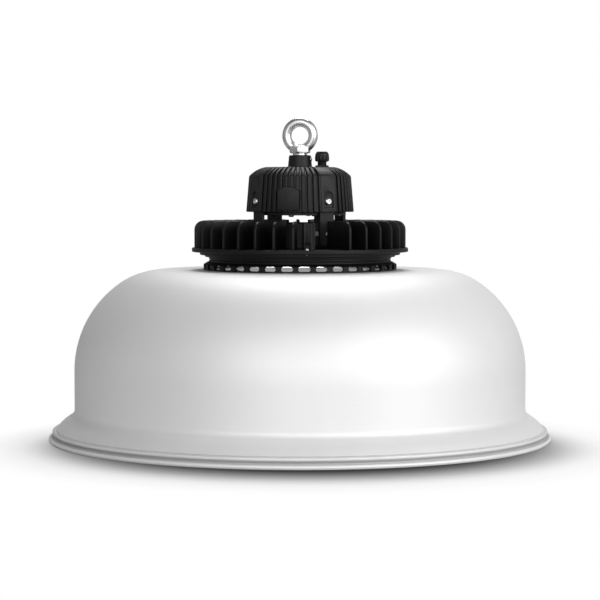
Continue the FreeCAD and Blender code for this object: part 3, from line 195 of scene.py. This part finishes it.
def spun_metal():
    """Spun aluminium: bright satin skin with the fine rings that the roller leaves. Painted shade
    darkens its colour in the scored line and in the groove above the rolled rim."""
    finish = Finish("spun aluminium")
    across, along, up = finish.axes()
    way = finish.radius() - up
    fine = finish.lines(way, 0.9, 3.0)
    broad = finish.lines(way, 9.0, 1.0)
    cloud = finish.noise(60.0, 3.0)
    # painted shade: the colour turns dark in the groove and the scored line above the rolled rim
    groove = band(up, (3.6, 4.6), (6.8, 8.0))
    score = band(up, (9.7, 10.2), (11.0, 11.6))
    skin = finish.blend(fine * 0.5 + cloud * 0.5, (0.80, 0.80, 0.80), (0.90, 0.90, 0.90))
    finish.set(Base_Color=finish.blend(groove * 0.55 + score * 0.25, skin, (0.16, 0.16, 0.16)),
               Metallic=0.3, Roughness=fine * 0.10 + broad * 0.06 + 0.44)
    return finish.bump(fine * 0.6 + broad * 0.4, 0.035)


def cast_metal(name, tone, roughness, grain, rounding, shine=0.5):
    """Die casting under a baked coat."""
    finish = Finish(name)
    sand = finish.noise(grain, 3.0)
    cloud = finish.noise(18.0, 2.0)
    dark = tuple(0.72 * part for part in tone)
    finish.set(Base_Color=finish.blend(cloud, dark, tone),
               Roughness=sand * 0.16 + roughness - 0.08, Specular_IOR_Level=shine)
    return finish.bump(sand, 0.05, 0.7, rounding)


def moulded(name, tone, roughness=0.5, grain=0.5, rounding=0.15, **fixed):
    """Moulded plastic or rubber with a fine grain."""
    finish = Finish(name)
    grit = finish.noise(grain, 2.0)
    cloud = finish.noise(9.0, 2.0)
    dark = tuple(0.86 * part for part in tone)
    finish.set(Base_Color=finish.blend(cloud, dark, tone),
               Roughness=grit * 0.12 + roughness - 0.06, **fixed)
    return finish.bump(grit, 0.02, 0.6, rounding)


def plated_steel():
    """Bright zinc plate with faint clouds."""
    finish = Finish("zinc plate")
    cloud = finish.noise(3.0, 3.0)
    fine = finish.noise(0.4, 2.0)
    finish.set(Base_Color=finish.blend(cloud, (0.62, 0.62, 0.63), (0.80, 0.80, 0.81)),
               Metallic=1.0, Roughness=cloud * 0.12 + fine * 0.08 + 0.22)
    return finish.bump(fine, 0.01, 0.5, 0.25)


def lens_plate():
    """Clear polycarbonate, finely frosted on its inner side."""
    finish = Finish("clear lens")
    fine = finish.noise(0.7, 2.0)
    finish.set(Base_Color=(0.93, 0.95, 0.96), Roughness=fine * 0.10 + 0.12,
               Transmission_Weight=0.9, IOR=1.58)
    return finish.bump(fine, 0.01, 0.5)


def phosphor():
    """Yellow phosphor set in silicone."""
    finish = Finish("LED phosphor")
    grit = finish.noise(0.3, 2.0)
    finish.set(Base_Color=finish.blend(grit, (0.85, 0.62, 0.10), (0.92, 0.76, 0.22)),
               Roughness=grit * 0.2 + 0.35)
    return finish.bump(grit, 0.02)


def circuit_board(name, tone, trace):
    """Solder mask with faint copper tracks under it."""
    finish = Finish(name)
    inputs = {"Vector": finish.place, "Scale": 1 / (3.2 * MM)}
    cells = finish.node("TexVoronoi", {"distance": "CHEBYCHEV", "feature": "F1"}, inputs)
    tracks = (cells["Distance"] * 9.0).wave().over(0.2, 0.6)
    finish.set(Base_Color=finish.blend(tracks, tone, trace), Roughness=tracks * 0.08 + 0.32)
    return finish.bump(tracks, 0.03)


def wound_copper(name, tone, pitch):
    """Enamelled wire wound in layers."""
    finish = Finish(name)
    across, along, up = finish.axes()
    turns = (up * (FULL_TURN / (pitch * MM))).wave()
    dark = tuple(0.6 * part for part in tone)
    finish.set(Base_Color=finish.blend(turns.over(-1.0, 1.0), dark, tone),
               Roughness=turns * 0.05 + 0.35, Metallic=0.6)
    return finish.bump(turns, 0.12)


SLOT_FINISHES = {
    "shade_aluminium": spun_metal(),
    "collar_black": cast_metal("collar black", (0.005, 0.005, 0.0053), 0.45, 0.5, 0.3, 0.22),
    "black_casting": cast_metal("heat sink black", (0.004, 0.004, 0.0042), 0.44, 0.7, 0.5, 0.24),
    "black_driver": cast_metal("driver black", (0.009, 0.009, 0.0094), 0.42, 0.6, 0.5, 0.28),
    "zinc_steel": plated_steel(),
    "lens": lens_plate(),
    "silicone": moulded("white silicone", (0.72, 0.72, 0.70), 0.55),
    "led_board": circuit_board("white solder mask", (0.82, 0.83, 0.82), (0.74, 0.75, 0.74)),
    "led_chip": phosphor(),
    "rubber": moulded("black rubber", (0.012, 0.012, 0.012), 0.62, 0.4, Specular_IOR_Level=0.3),
    "green_board": circuit_board("green solder mask", (0.02, 0.16, 0.05), (0.05, 0.26, 0.09)),
    "ferrite": moulded("ferrite", (0.045, 0.045, 0.048), 0.5, 0.6),
    "winding": moulded("winding tape", (0.75, 0.55, 0.08), 0.4, 0.8),
    "copper": wound_copper("copper wire", (0.85, 0.38, 0.16), 0.9),
    "capacitor_can": moulded("capacitor sleeve", (0.03, 0.035, 0.06), 0.28, 1.5),
    "green_terminal": moulded("green terminal", (0.05, 0.42, 0.16), 0.45, 0.8),
    "grey_plastic": moulded("grey nylon", (0.32, 0.32, 0.33), 0.5, 0.6),
    "black_plastic": moulded("black nylon", (0.009, 0.009, 0.0095), 0.36, 0.5,
                             Specular_IOR_Level=0.35),
}


# ---------------------------------------------------------------- modelling

def clear_choice():
    """Nothing is selected or active when a new piece starts."""
    if bpy.context.object and bpy.context.object.mode != "OBJECT":
        bpy.ops.object.mode_set(mode="OBJECT")
    bpy.ops.object.select_all(action="DESELECT")


def bend(start, end, radius, steps):
    """Points after start, up to end, on an arc; it turns left where the radius is positive."""
    half = math.dist(start, end) / 2
    reach = math.sqrt(max(radius * radius - half * half, 0.0)) / (2 * half)
    side = 1 if radius > 0 else -1
    across, up = end[0] - start[0], end[1] - start[1]
    centre = ((start[0] + end[0]) / 2 - side * reach * up,
              (start[1] + end[1]) / 2 + side * reach * across)
    first = math.atan2(start[1] - centre[1], start[0] - centre[0])
    last = math.atan2(end[1] - centre[1], end[0] - centre[0])
    turn = (last - first) % FULL_TURN if side > 0 else -((first - last) % FULL_TURN)
    size = abs(radius)
    return [(centre[0] + size * math.cos(first + turn * step / steps),
             centre[1] + size * math.sin(first + turn * step / steps))
            for step in range(1, steps + 1)]


def chain(*corners, steps=8):
    """Corners (radius, height) or (radius, height, bend of the edge that leaves it)."""
    points = [corners[0][:2]]
    for corner, following in zip(corners, corners[1:]):
        if len(corner) == 3:
            points += bend(corner[:2], following[:2], corner[2], steps)
        else:
            points.append(following[:2])
    return points


def drawn(name, points):
    """A wire through points (radius, height) in millimetres, in the XZ plane."""
    clear_choice()
    bpy.ops.mesh.primitive_plane_add(size=MM)
    piece = bpy.context.object
    piece.name = name
    bpy.ops.object.mode_set(mode="EDIT")
    bpy.ops.mesh.merge(type="CENTER")
    bpy.ops.transform.translate(value=(points[0][0] * MM, 0, points[0][1] * MM))
    for before, after in zip(points, points[1:]):
        step = ((after[0] - before[0]) * MM, 0, (after[1] - before[1]) * MM)
        bpy.ops.mesh.extrude_vertices_move(TRANSFORM_OT_translate={"value": step})
    return piece


def turned(name, points, steps=192, crease=30):
    """A wire turned round the Z axis."""
    piece = drawn(name, points)
    bpy.ops.mesh.select_all(action="SELECT")
    bpy.ops.mesh.spin(steps=steps, angle=FULL_TURN, center=(0, 0, 0), axis=(0, 0, 1))
    bpy.ops.mesh.select_all(action="SELECT")
    bpy.ops.mesh.remove_doubles(threshold=0.002 * MM)
    bpy.ops.mesh.normals_make_consistent(inside=False)
    bpy.ops.object.mode_set(mode="OBJECT")
    bpy.ops.object.shade_smooth_by_angle(angle=math.radians(crease))
    return piece


def dressed(piece, slot, *stands_for):
    """Gives a piece its finish, its body and the CAD nodes that it stands for."""
    piece.data.materials.clear()
    piece.data.materials.append(SLOT_FINISHES[slot].material)
    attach(piece, "root")
    if stands_for:
        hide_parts(*stands_for)
    return piece



def choose(piece):
    """Only this piece is selected and active."""
    clear_choice()
    piece.select_set(True)
    bpy.context.view_layer.objects.active = piece


def settled(piece):
    """Puts a piece's place, turn and scale into its mesh."""
    choose(piece)
    bpy.ops.object.transform_apply(location=True, rotation=True, scale=True)
    return piece


def box(name, low, high):
    """A box between two corners, in millimetres."""
    clear_choice()
    middle = [(first + last) / 2 * MM for first, last in zip(low, high)]
    size = [last - first for first, last in zip(low, high)]
    bpy.ops.mesh.primitive_cube_add(size=MM, location=middle, scale=size)
    bpy.context.object.name = name
    return settled(bpy.context.object)


def prism(name, points, near, far):
    """An outline (across, height) in the XZ plane, extruded along Y from near to far."""
    piece = drawn(name, points)
    bpy.ops.mesh.select_all(action="SELECT")
    bpy.ops.mesh.edge_face_add()
    bpy.ops.transform.translate(value=(0, near * MM, 0))
    bpy.ops.mesh.extrude_region_move(TRANSFORM_OT_translate={"value": (0, (far - near) * MM, 0)})
    bpy.ops.mesh.select_all(action="SELECT")
    bpy.ops.mesh.normals_make_consistent(inside=False)
    bpy.ops.object.mode_set(mode="OBJECT")
    return piece


def bar(name, sides, radius, foot, top, turn=0.0):
    """An upright bar with that many sides; a six-sided one is a hexagon."""
    clear_choice()
    middle = (0, 0, (foot + top) / 2 * MM)
    bpy.ops.mesh.primitive_cylinder_add(vertices=sides, radius=radius * MM,
                                        depth=(top - foot) * MM, location=middle,
                                        rotation=(0, 0, math.radians(turn)))
    bpy.context.object.name = name
    return settled(bpy.context.object)


def smoothed(piece, crease=35):
    """Smooth shading, with edges sharper than the crease left hard."""
    choose(piece)
    bpy.ops.object.shade_smooth_by_angle(angle=math.radians(crease))
    return piece


def softened(piece, width, segments=2, angle=35):
    """Rounds the sharp edges."""
    choose(piece)
    modifier = piece.modifiers.new("soft edges", "BEVEL")
    modifier.width = width * MM
    modifier.segments = segments
    modifier.angle_limit = math.radians(angle)
    bpy.ops.object.modifier_apply(modifier=modifier.name)
    return smoothed(piece, 40)


def carved(piece, tool, operation="DIFFERENCE"):
    """Cuts a tool out of a piece, or keeps only what both hold."""
    choose(piece)
    modifier = piece.modifiers.new("carving", "BOOLEAN")
    modifier.operation = operation
    modifier.solver = "EXACT"
    modifier.object = tool
    bpy.ops.object.modifier_apply(modifier=modifier.name)
    bpy.data.objects.remove(tool)
    return piece


def moved(piece, across=0.0, along=0.0, up=0.0, turn=0.0, tilt=0.0, bearing=0.0):
    """Tilts a piece about X and turns it about Z, moves it, and swings it to a bearing."""
    piece.rotation_euler = (math.radians(tilt), 0, math.radians(turn))
    piece.location = (across * MM, along * MM, up * MM)
    settled(piece)
    piece.rotation_euler = (0, 0, math.radians(bearing))
    return settled(piece)


def ringed(piece, count, pitch):
    """Copies the whole mesh round the Z axis, towards greater bearings."""
    choose(piece)
    bpy.ops.object.mode_set(mode="EDIT")
    bpy.ops.mesh.select_all(action="SELECT")
    whole = math.radians(pitch * (count - 1))
    bpy.ops.mesh.spin(steps=count - 1, dupli=True, angle=SPIN_SIDE * whole, center=(0, 0, 0),
                      axis=(0, 0, 1))
    bpy.ops.object.mode_set(mode="OBJECT")
    return piece


def joined(name, pieces):
    """Makes several pieces one piece."""
    clear_choice()
    for piece in pieces:
        piece.select_set(True)
    bpy.context.view_layer.objects.active = pieces[0]
    bpy.ops.object.join()
    pieces[0].name = name
    return pieces[0]


# ---------------------------------------------------------------- reflector

CROWN = 168.394
SHEET = 1.2
BORE = 86
WALL = 225.0
WALL_TOP = 69
WALL_FOOT = 31
CROWN_BEND = 74
SHOULDER_BEND = 105
FOOT_BEND = 9
FLARE_BEND = 45
FLARE_EDGE = (243.0, 11.6)
ROLL_BEND = 2.6


def make_reflector():
    """Spun shade: crown, two shoulder bends, side wall, flare, scored line, bead, groove and
    rolled rim."""
    turn = math.radians(55)
    shoulder_end = (WALL - SHOULDER_BEND * (1 - math.cos(turn)),
                    WALL_TOP + SHOULDER_BEND * math.sin(turn))
    crown_edge = WALL - (SHOULDER_BEND - CROWN_BEND) * (1 - math.cos(turn)) - CROWN_BEND
    inner_shoulder = [place - SHEET * math.sin(turn) for place in shoulder_end]
    lean = math.radians(28)
    slope = math.radians(49.7)
    hollow_end = (WALL + FOOT_BEND * (1 - math.sin(lean)), WALL_FOOT - FOOT_BEND * math.cos(lean))
    outside = [
        (BORE, CROWN), (crown_edge, CROWN, -CROWN_BEND), (*shoulder_end, -SHOULDER_BEND),
        (WALL, WALL_TOP), (WALL, WALL_FOOT, FOOT_BEND), (*hollow_end, -FLARE_BEND), FLARE_EDGE]
    edge = [
        (242.6, 10.5, 0.9), (244.3, 9.8, -1.3), (246.9, 8.5, -0.8), (246.7, 7.9),
        (244.9, 5.0, 1.4), (246.4, 3.9, -ROLL_BEND), (250.5, 2.0, -ROLL_BEND), (249.11, 0),
        (246.69, 0, -ROLL_BEND), (244.2, 2.2), (243.6, 5.2), (243.2, 8.6)]
    inside = [
        (FLARE_EDGE[0] - SHEET * math.sin(slope), FLARE_EDGE[1] - SHEET * math.cos(slope),
         FLARE_BEND - SHEET),
        (hollow_end[0] - SHEET * math.sin(lean), hollow_end[1] - SHEET * math.cos(lean),
         -FOOT_BEND - SHEET),
        (WALL - SHEET, WALL_FOOT), (WALL - SHEET, WALL_TOP, SHOULDER_BEND - SHEET),
        (*inner_shoulder, CROWN_BEND - SHEET), (crown_edge, CROWN - SHEET),
        (BORE, CROWN - SHEET), (BORE, CROWN)]
    piece = turned("reflector_shell", chain(*outside, *edge, *inside, steps=14), 256)
    return dressed(piece, "shade_aluminium", "reflector")


make_reflector()


# ---------------------------------------------------------------- heat sink

LED_SEAT = 182.594             # underside of the LED board
LED_RECESS = (82.5, 184.194)
BEZEL_TOP = 181.594
STEP_FOOT = 183.594
FLANGE_FOOT = 186.594
FLANGE_TOP = 190.594
FLANGE = 108
CORE = (22.5, 25.5)
CORE_TOP = 215.594
FIN_FOOT = 190.1
FIN_TOP = 217.594
FIN_START = 60
FIN_REACH = 105.5
FIN_BEND = 9
FIN_PLACES = 35
FIN_PITCH = 360 / FIN_PLACES
BAY = 24.3                     # bearing of the bay, where two fins are left out
FLUTED = 17.6                  # bearing of the fluted boss


def make_heat_sink():
    """Casting with rounded edges: stepped disc, core wall, radial fins and a fluted boss."""
    disc = turned("heat_sink_disc", [
        (0, LED_RECESS[1]), LED_RECESS, (LED_RECESS[0], BEZEL_TOP), (95, BEZEL_TOP),
        (95, STEP_FOOT), (100, STEP_FOOT), (100, FLANGE_FOOT), (FLANGE, FLANGE_FOOT),
        (FLANGE, FLANGE_TOP), (CORE[1], FLANGE_TOP), (CORE[1], CORE_TOP), (CORE[0], CORE_TOP),
        (CORE[0], FLANGE_TOP), (0, FLANGE_TOP)], 144)
    softened(disc, 0.7, 3)
    outline = chain((FIN_START, FIN_FOOT), (FIN_REACH, FIN_FOOT),
                    (FIN_REACH, FIN_TOP - FIN_BEND, FIN_BEND), (FIN_REACH - FIN_BEND, FIN_TOP),
                    (FIN_START, FIN_TOP))
    fin = softened(prism("fin", outline, -1.3, 1.3), 0.55, 3)
    moved(fin, turn=BAY + 1.5 * FIN_PITCH - 90)
    ringed(fin, FIN_PLACES - 2, FIN_PITCH)
    boss = box("fluted_boss", (-5.5, -102, FIN_FOOT), (5.5, -86, FIN_TOP - 1.5))
    for across in (-3, 0, 3):
        low, high = (across - 0.75, -103, FLANGE_TOP), (across + 0.75, -101, FIN_TOP + 0.4)
        carved(boss, box("flute", low, high))
    arch = chain((-3.1, 190.7), (3.1, 190.7), (3.1, 194.9, 3.1001), (-3.1, 194.9), steps=10)
    notch = prism("notch", [(across - 2.1, up) for across, up in arch], -103, -95)
    softened(carved(boss, notch), 0.3, 2)
    moved(boss, bearing=FLUTED)
    casting = joined("heat_sink_casting", [disc, fin, boss])
    return dressed(casting, "black_casting", "heat_sink")


make_heat_sink()


# ---------------------------------------------------------------- driver housing

HOUSING_FOOT = 226.294
WAIST = 261.694
HOUSING_TOP = 270.794
BOSS_SEAT = 282.594
CAVITY = 42.4
CAVITY_TOP = 264.294
EYE_BORE = 4.05
BORE_END = 256.294
LAND_HALF = 8.5
RECESS_HALF = 5.25
PAD_HALF = 10.8
RIB_FOOT = 53.75
RIB_WAIST = 50.85
RIB_PLACES = 56
RIBS_BETWEEN = 12              # ribs from one land to the next


def rib_outline(root):
    """Outside line of a rib or land, and its root inside the wall."""
    return chain((RIB_FOOT - root, HOUSING_FOOT), (RIB_FOOT, HOUSING_FOOT), (RIB_WAIST, WAIST, 30),
                 (35, HOUSING_TOP), (33, HOUSING_TOP), (33, HOUSING_TOP - root),
                 (RIB_WAIST - root, WAIST))


def make_housing():
    """Cast housing: hollow shell, rounded ribs, flat lands with arched screw recesses, a blank
    label pad, and the boss that carries the eye."""
    shell = turned("driver_shell", chain(
        (CAVITY, HOUSING_FOOT), (51.15, HOUSING_FOOT), (48.25, WAIST, 30), (35, 268.714),
        (31, HOUSING_TOP), (14, HOUSING_TOP), (12, 271.6), (11, BOSS_SEAT - 0.8),
        (10.2, BOSS_SEAT), (EYE_BORE, BOSS_SEAT), (EYE_BORE, BORE_END), (10, BORE_END),
        (10, CAVITY_TOP), (31, CAVITY_TOP, -10), (CAVITY - 1.5, CAVITY_TOP - 10),
        (CAVITY, HOUSING_FOOT)), 160)
    rib = softened(prism("rib", rib_outline(4), -1.65, 1.65), 0.7, 3)
    spread = 180 * (RIBS_BETWEEN - 1) / RIB_PLACES
    moved(rib, turn=-90 - spread)
    ringed(rib, RIBS_BETWEEN, 360 / RIB_PLACES)
    ringed(rib, 4, 90)
    land = prism("land", rib_outline(4), -LAND_HALF, LAND_HALF)
    sill, spring = HOUSING_FOOT + 4.5, HOUSING_FOOT + 14.75
    arch = chain((-RECESS_HALF, sill), (RECESS_HALF, sill),
                 (RECESS_HALF, spring, RECESS_HALF + 0.0001), (-RECESS_HALF, spring), steps=14)
    recess = moved(prism("recess", arch, -70, -51.2), bearing=90)
    softened(carved(land, recess), 0.5, 3)
    moved(land, turn=-45)
    ringed(land, 4, 90)
    foot, spring = HOUSING_FOOT + 1.8, HOUSING_FOOT + 20.8
    pad = chain((-PAD_HALF, foot), (PAD_HALF, foot), (PAD_HALF, spring, 16),
                (-PAD_HALF, spring), steps=14)
    plate = softened(prism("label_pad", pad, -53.8, -46), 0.5, 3)
    casting = joined("driver_casting", [shell, rib, land, plate])
    return dressed(casting, "black_driver", "driver_housing")


make_housing()


# ---------------------------------------------------------------- eye and gland

HEX_FOOT = 284.594
EYE = 302.094
GLAND = 22.5                   # how far the gland stands from the axis


def hexagon_nut(name, flats, foot, top, turn, chamfer):
    """Hexagon bar whose corners are turned down at both ends."""
    corner = flats / math.sqrt(3)
    bolt = bar(name, 6, corner, foot, top, turn)
    lathe = turned("lathe", [
        (0, foot), (flats / 2 - 0.2, foot), (corner + 0.1, foot + chamfer),
        (corner + 0.1, top - chamfer), (flats / 2 - 0.2, top), (0, top)], 64)
    return carved(bolt, lathe, "INTERSECT")


def make_eye_bolt():
    """Forged eye that runs through a waist into a chamfered hexagon, with its shank below."""
    clear_choice()
    bpy.ops.mesh.primitive_torus_add(major_radius=13.4 * MM, minor_radius=4.6 * MM,
                                     major_segments=96, minor_segments=32,
                                     location=(0, 0, EYE * MM), rotation=(math.pi / 2, 0, 0))
    ring = settled(bpy.context.object)
    waist = turned("waist", chain((0, 290.8), (8.6, 290.8), (8.6, 291.594, -3.2), (6.4, 292.9),
                                  (0, 293.1)), 64)
    nut = softened(hexagon_nut("nut", 19, HEX_FOOT, 291.594, 0, 1.1), 0.25, 2)
    shank = [(0, 265.594), (3.4, 265.594), (4, 266.2), (4, HEX_FOOT + 0.2), (0, HEX_FOOT + 0.2)]
    bolt = smoothed(joined("lifting_eye", [ring, waist, nut, turned("shank", shank, 48)]))
    return dressed(bolt, "zinc_steel", "eye_bolt")


def make_gland():
    """Supply gland: hexagon foot, threaded neck and a gripped cap round a rubber seal."""
    thread_foot = HOUSING_TOP + 1.8
    foot = softened(hexagon_nut("gland_foot", 12, HOUSING_TOP, thread_foot, 30, 0.5), 0.15, 2)
    thread = [(3, 261), (5, 261), (5, thread_foot), (4.2, thread_foot)]
    for turn in range(9):
        level = HOUSING_TOP + 2 + turn
        thread += [(4.2, level), (4.6, level + 0.35), (4.6, level + 0.55), (4.2, level + 0.9)]
    thread += [(4.2, 282.1), (3, 282.1), (3, 261)]
    neck = turned("gland_neck", thread, 48)
    stem = moved(joined("gland_stem", [foot, neck]), across=GLAND)
    dressed(stem, "black_plastic", "cable_gland_body")

    shell = turned("gland_shell", chain(
        (4.65, 276.194), (6.0, 276.194), (6.6, 277.2), (6.75, 281.4, 4), (5.3, 285.6, 1.2),
        (4.7, 286.194), (3.0, 286.194), (3.0, 284.994), (4.65, 283.994), (4.65, 276.194)), 64)
    grip = softened(box("grip", (5.6, -0.75, 277.0), (7.2, 0.75, 281.6)), 0.45, 3)
    ringed(grip, 12, 30)
    cap = moved(joined("gland_cap", [shell, grip]), across=GLAND)
    dressed(cap, "black_plastic", "cable_gland_cap")


make_eye_bolt()
make_gland()


# ---------------------------------------------------------------- fasteners and LED packages

def pan_screw(name, shank, head, rise, length):
    """Pan head screw with a hexagon socket, standing on the origin with its head up."""
    profile = [(0, -length), (0.7 * shank, -length), (shank, 0.6 - length), (shank, 0), (head, 0)]
    profile += [(head, 0.3 * rise)] + bend((head, 0.3 * rise), (0.6 * head, rise), 0.8 * head, 5)
    screw = turned(name, profile + [(0, rise)], 32)
    return carved(screw, bar("key", 6, 1.45, rise - 1.1, rise + 1))


def screw_ring(node, size, circle, count, seat, bearing, down):
    """A ring of upright screws at a seat height; the first is at a bearing."""
    screw = smoothed(pan_screw(node + "_turned", *size))
    moved(screw, along=-circle, up=seat, tilt=180 if down else 0, bearing=bearing)
    ringed(screw, count, 360 / count)
    return dressed(screw, "zinc_steel", node)


SMALL_HEAD = (1.5, 2.75, 1.6)
LARGE_HEAD = (2.0, 3.7, 2.3)

# node: (shank radius, head radius, rise of the head, length), circle, count, seat height,
# first bearing, head down
SCREW_RINGS = {
    "leg_base_screws": ((*LARGE_HEAD, 8), 41.8, 4, 193.594, 45, False),
    "bezel_screws": ((1.5, 2.75, 1.4, 8), 85.3, 8, 177.994, 112.5, True),
    "collar_screws": ((*LARGE_HEAD, 11.2), 85.3, 6, 175.394, 90, True),
    "led_board_screws": ((1.5, 2.75, 1.2, 5.6), 73.5, 6, LED_SEAT, 120, True),
    "driver_cover_screws": ((*SMALL_HEAD, 11.2), 39.4, 4, 223.094, 90, True),
    "driver_board_screws": ((*SMALL_HEAD, 5.6), 24, 4, 232.294, 90, False),
}


def make_fasteners():
    """Every ring of upright screws, and the screws that lie in the lands' recesses."""
    for node, sizes in SCREW_RINGS.items():
        screw_ring(node, *sizes)
    lying = smoothed(pan_screw("leg_top_screws_turned", *LARGE_HEAD, 4.5))
    moved(lying, along=-51.2, up=236.6, tilt=90, bearing=45)
    ringed(lying, 4, 90)
    dressed(lying, "zinc_steel", "leg_top_screws")


LED_RINGS = ((1, 12), (2, 24), (3, 24))
LED_RING_PITCH = 16


def make_led_packages():
    """Packages with a phosphor window, in three rings, facing down, all in the phosphor finish."""
    rings = []
    for ring, count in LED_RINGS:
        package = softened(box("package", (-1.5, -1.5, -0.8), (1.5, 1.5, 0)), 0.15, 1)
        choose(package)
        bpy.ops.object.mode_set(mode="EDIT")
        bpy.ops.mesh.select_mode(type="FACE")
        bpy.ops.mesh.select_all(action="DESELECT")
        mesh = bmesh.from_edit_mesh(package.data)
        for face in mesh.faces:
            face.select_set(face.normal.z < -0.9)
        bmesh.update_edit_mesh(package.data)
        bpy.ops.mesh.inset(thickness=0.3 * MM)
        bpy.ops.transform.translate(value=(0, 0, 0.15 * MM))
        bpy.ops.object.mode_set(mode="OBJECT")
        moved(package, across=LED_RING_PITCH * (ring + 0.4), up=LED_SEAT)
        rings.append(ringed(package, count, 360 / count))
    packages = joined("led_packages", rings)
    return dressed(packages, "led_chip", "led_chips")


make_fasteners()
make_led_packages()


# ---------------------------------------------------------------- finishes of the carried nodes

def node_slots():
    """Material slot of each CAD node, from the record."""
    slots = {}
    for part in frame["record"]["subparts"]:
        slots[part["node"]] = part["material_slot"]
    return slots


for name, slot in node_slots().items():
    if not nodes[name].hide_render:
        nodes[name].data.materials.clear()
        nodes[name].data.materials.append(SLOT_FINISHES[slot].material)


# ---------------------------------------------------------------- studio

# offset of the centre of the floor's painted shadow, to the right and to the front
SHADOW_RIGHT = 0.012
SHADOW_FRONT = 0.067
MOUTH = 0.2445


def make_floor():
    """Pale floor with a painted shadow: its colour is darker round the light and a little in
    front of it, and white further out like the studio. It is open inside the rim and clear from
    below, so that the underside is lit and seen."""
    clear_choice()
    bpy.ops.mesh.primitive_circle_add(vertices=96, radius=12, fill_type="NGON")
    floor = bpy.context.object
    floor.name = "floor"
    finish = Finish("studio floor")
    right, front, up = finish.studio_axes()
    spread = ((right - SHADOW_RIGHT) ** 2 + (front - SHADOW_FRONT) ** 2) ** 0.5
    reach = spread.over(0.235, 0.345)
    seen = finish.node("LightPath")["Is Camera Ray"]
    # painted shadow: for camera rays the floor's colour darkens towards the light
    painted_shadow = finish.blend(spread.over(0.178, 0.295), (0.05, 0.05, 0.05), (0.95, 0.95, 0.95))
    finish.set(Base_Color=finish.blend(seen, (0.5, 0.5, 0.5), painted_shadow), Roughness=0.9,
               Specular_IOR_Level=0.0)
    white = finish.node("Emission", {}, {"Color": (1, 1, 1), "Strength": 1.0})["Emission"]
    lit = Signal(finish, finish.shader.outputs[0])
    both = finish.node("MixShader", {}, {0: seen * reach, 1: lit, 2: white})["Shader"]
    mouth = 1 - finish.radius().over(MOUTH - MM, MOUTH)
    gap = finish.node("NewGeometry")["Backfacing"].at_least(mouth)
    clear = finish.node("BsdfTransparent")["BSDF"]
    surface = finish.node("MixShader", {}, {0: gap, 1: both, 2: clear})["Shader"]
    finish.feed(finish.tree.nodes["Material Output"].inputs["Surface"], surface)
    floor.data.materials.append(finish.material)


def make_surroundings():
    """White where it is seen. Where it lights it is a soft room, brighter on the right, at the
    front and near the horizon."""
    sky = Finish("studio", surroundings=True)
    right, front, up = sky.studio_axes()
    sides = right.over(-1.0, 0.9) * 0.34 + 0.37
    depth = front.over(-0.8, 0.1) * 0.5 + 0.5
    room = sides * (1.25 - up.unsigned() * 1.05) * depth
    rays = sky.node("LightPath")
    seen = rays["Is Camera Ray"].at_least(rays["Is Transmission Ray"])
    sky.set(Color=(1, 1, 1), Strength=seen + (1 - seen) * room)
    bpy.context.scene.world = sky.material


def lamp(name, kind, power, location, way, **settings):
    """A lamp that shines against the way given."""
    data = bpy.data.lights.new(name, kind)
    data.energy = power
    for setting, value in settings.items():
        setattr(data, setting, value)
    made = bpy.data.objects.new(name, data)
    bpy.context.collection.objects.link(made)
    made.location = location
    made.rotation_euler = way.to_track_quat("Z", "Y").to_euler()


def soft_box(name, bearing, rise, distance, size, power):
    """Square lamp that looks at the light from a bearing and a rise."""
    turn = math.radians(bearing)
    lift = math.radians(rise)
    way = Vector((math.sin(turn) * math.cos(lift), -math.cos(turn) * math.cos(lift),
                  math.sin(lift)))
    lamp(name, "AREA", power, way * distance + Vector((0, 0, 0.15)), way, shape="SQUARE",
         size=size)


def make_beam():
    """Weak beam that lights the shade's inner wall behind the collar's windows."""
    lamp("beam inside the shade", "SPOT", 0.5, (0, 0, 0.155),
         Vector((math.sin(VIEW), -math.cos(VIEW), 0.02)), spot_size=math.radians(70),
         spot_blend=1.0, shadow_soft_size=0.02)


def make_camera():
    """Long lens a little above the rim, aimed at the middle of the light."""
    data = bpy.data.cameras.new("camera")
    data.lens = 126
    data.sensor_width = 36
    data.clip_end = 50
    camera = bpy.data.objects.new("camera", data)
    bpy.context.collection.objects.link(camera)
    distance, height, aim = 2.1, 0.248, 0.138
    camera.location = (distance * math.sin(VIEW), -distance * math.cos(VIEW), height)
    way = camera.location - Vector((0, 0, aim))
    camera.rotation_euler = way.to_track_quat("Z", "Y").to_euler()
    bpy.context.scene.camera = camera


make_camera()
make_surroundings()
make_floor()
soft_box("key", bearing=62, rise=19, distance=2.8, size=2.4, power=41)
soft_box("front", bearing=4, rise=18, distance=3.0, size=2.4, power=29)
soft_box("top", bearing=188, rise=58, distance=2.4, size=1.4, power=30)
make_beam()

bpy.context.scene.view_settings.view_transform = "Standard"
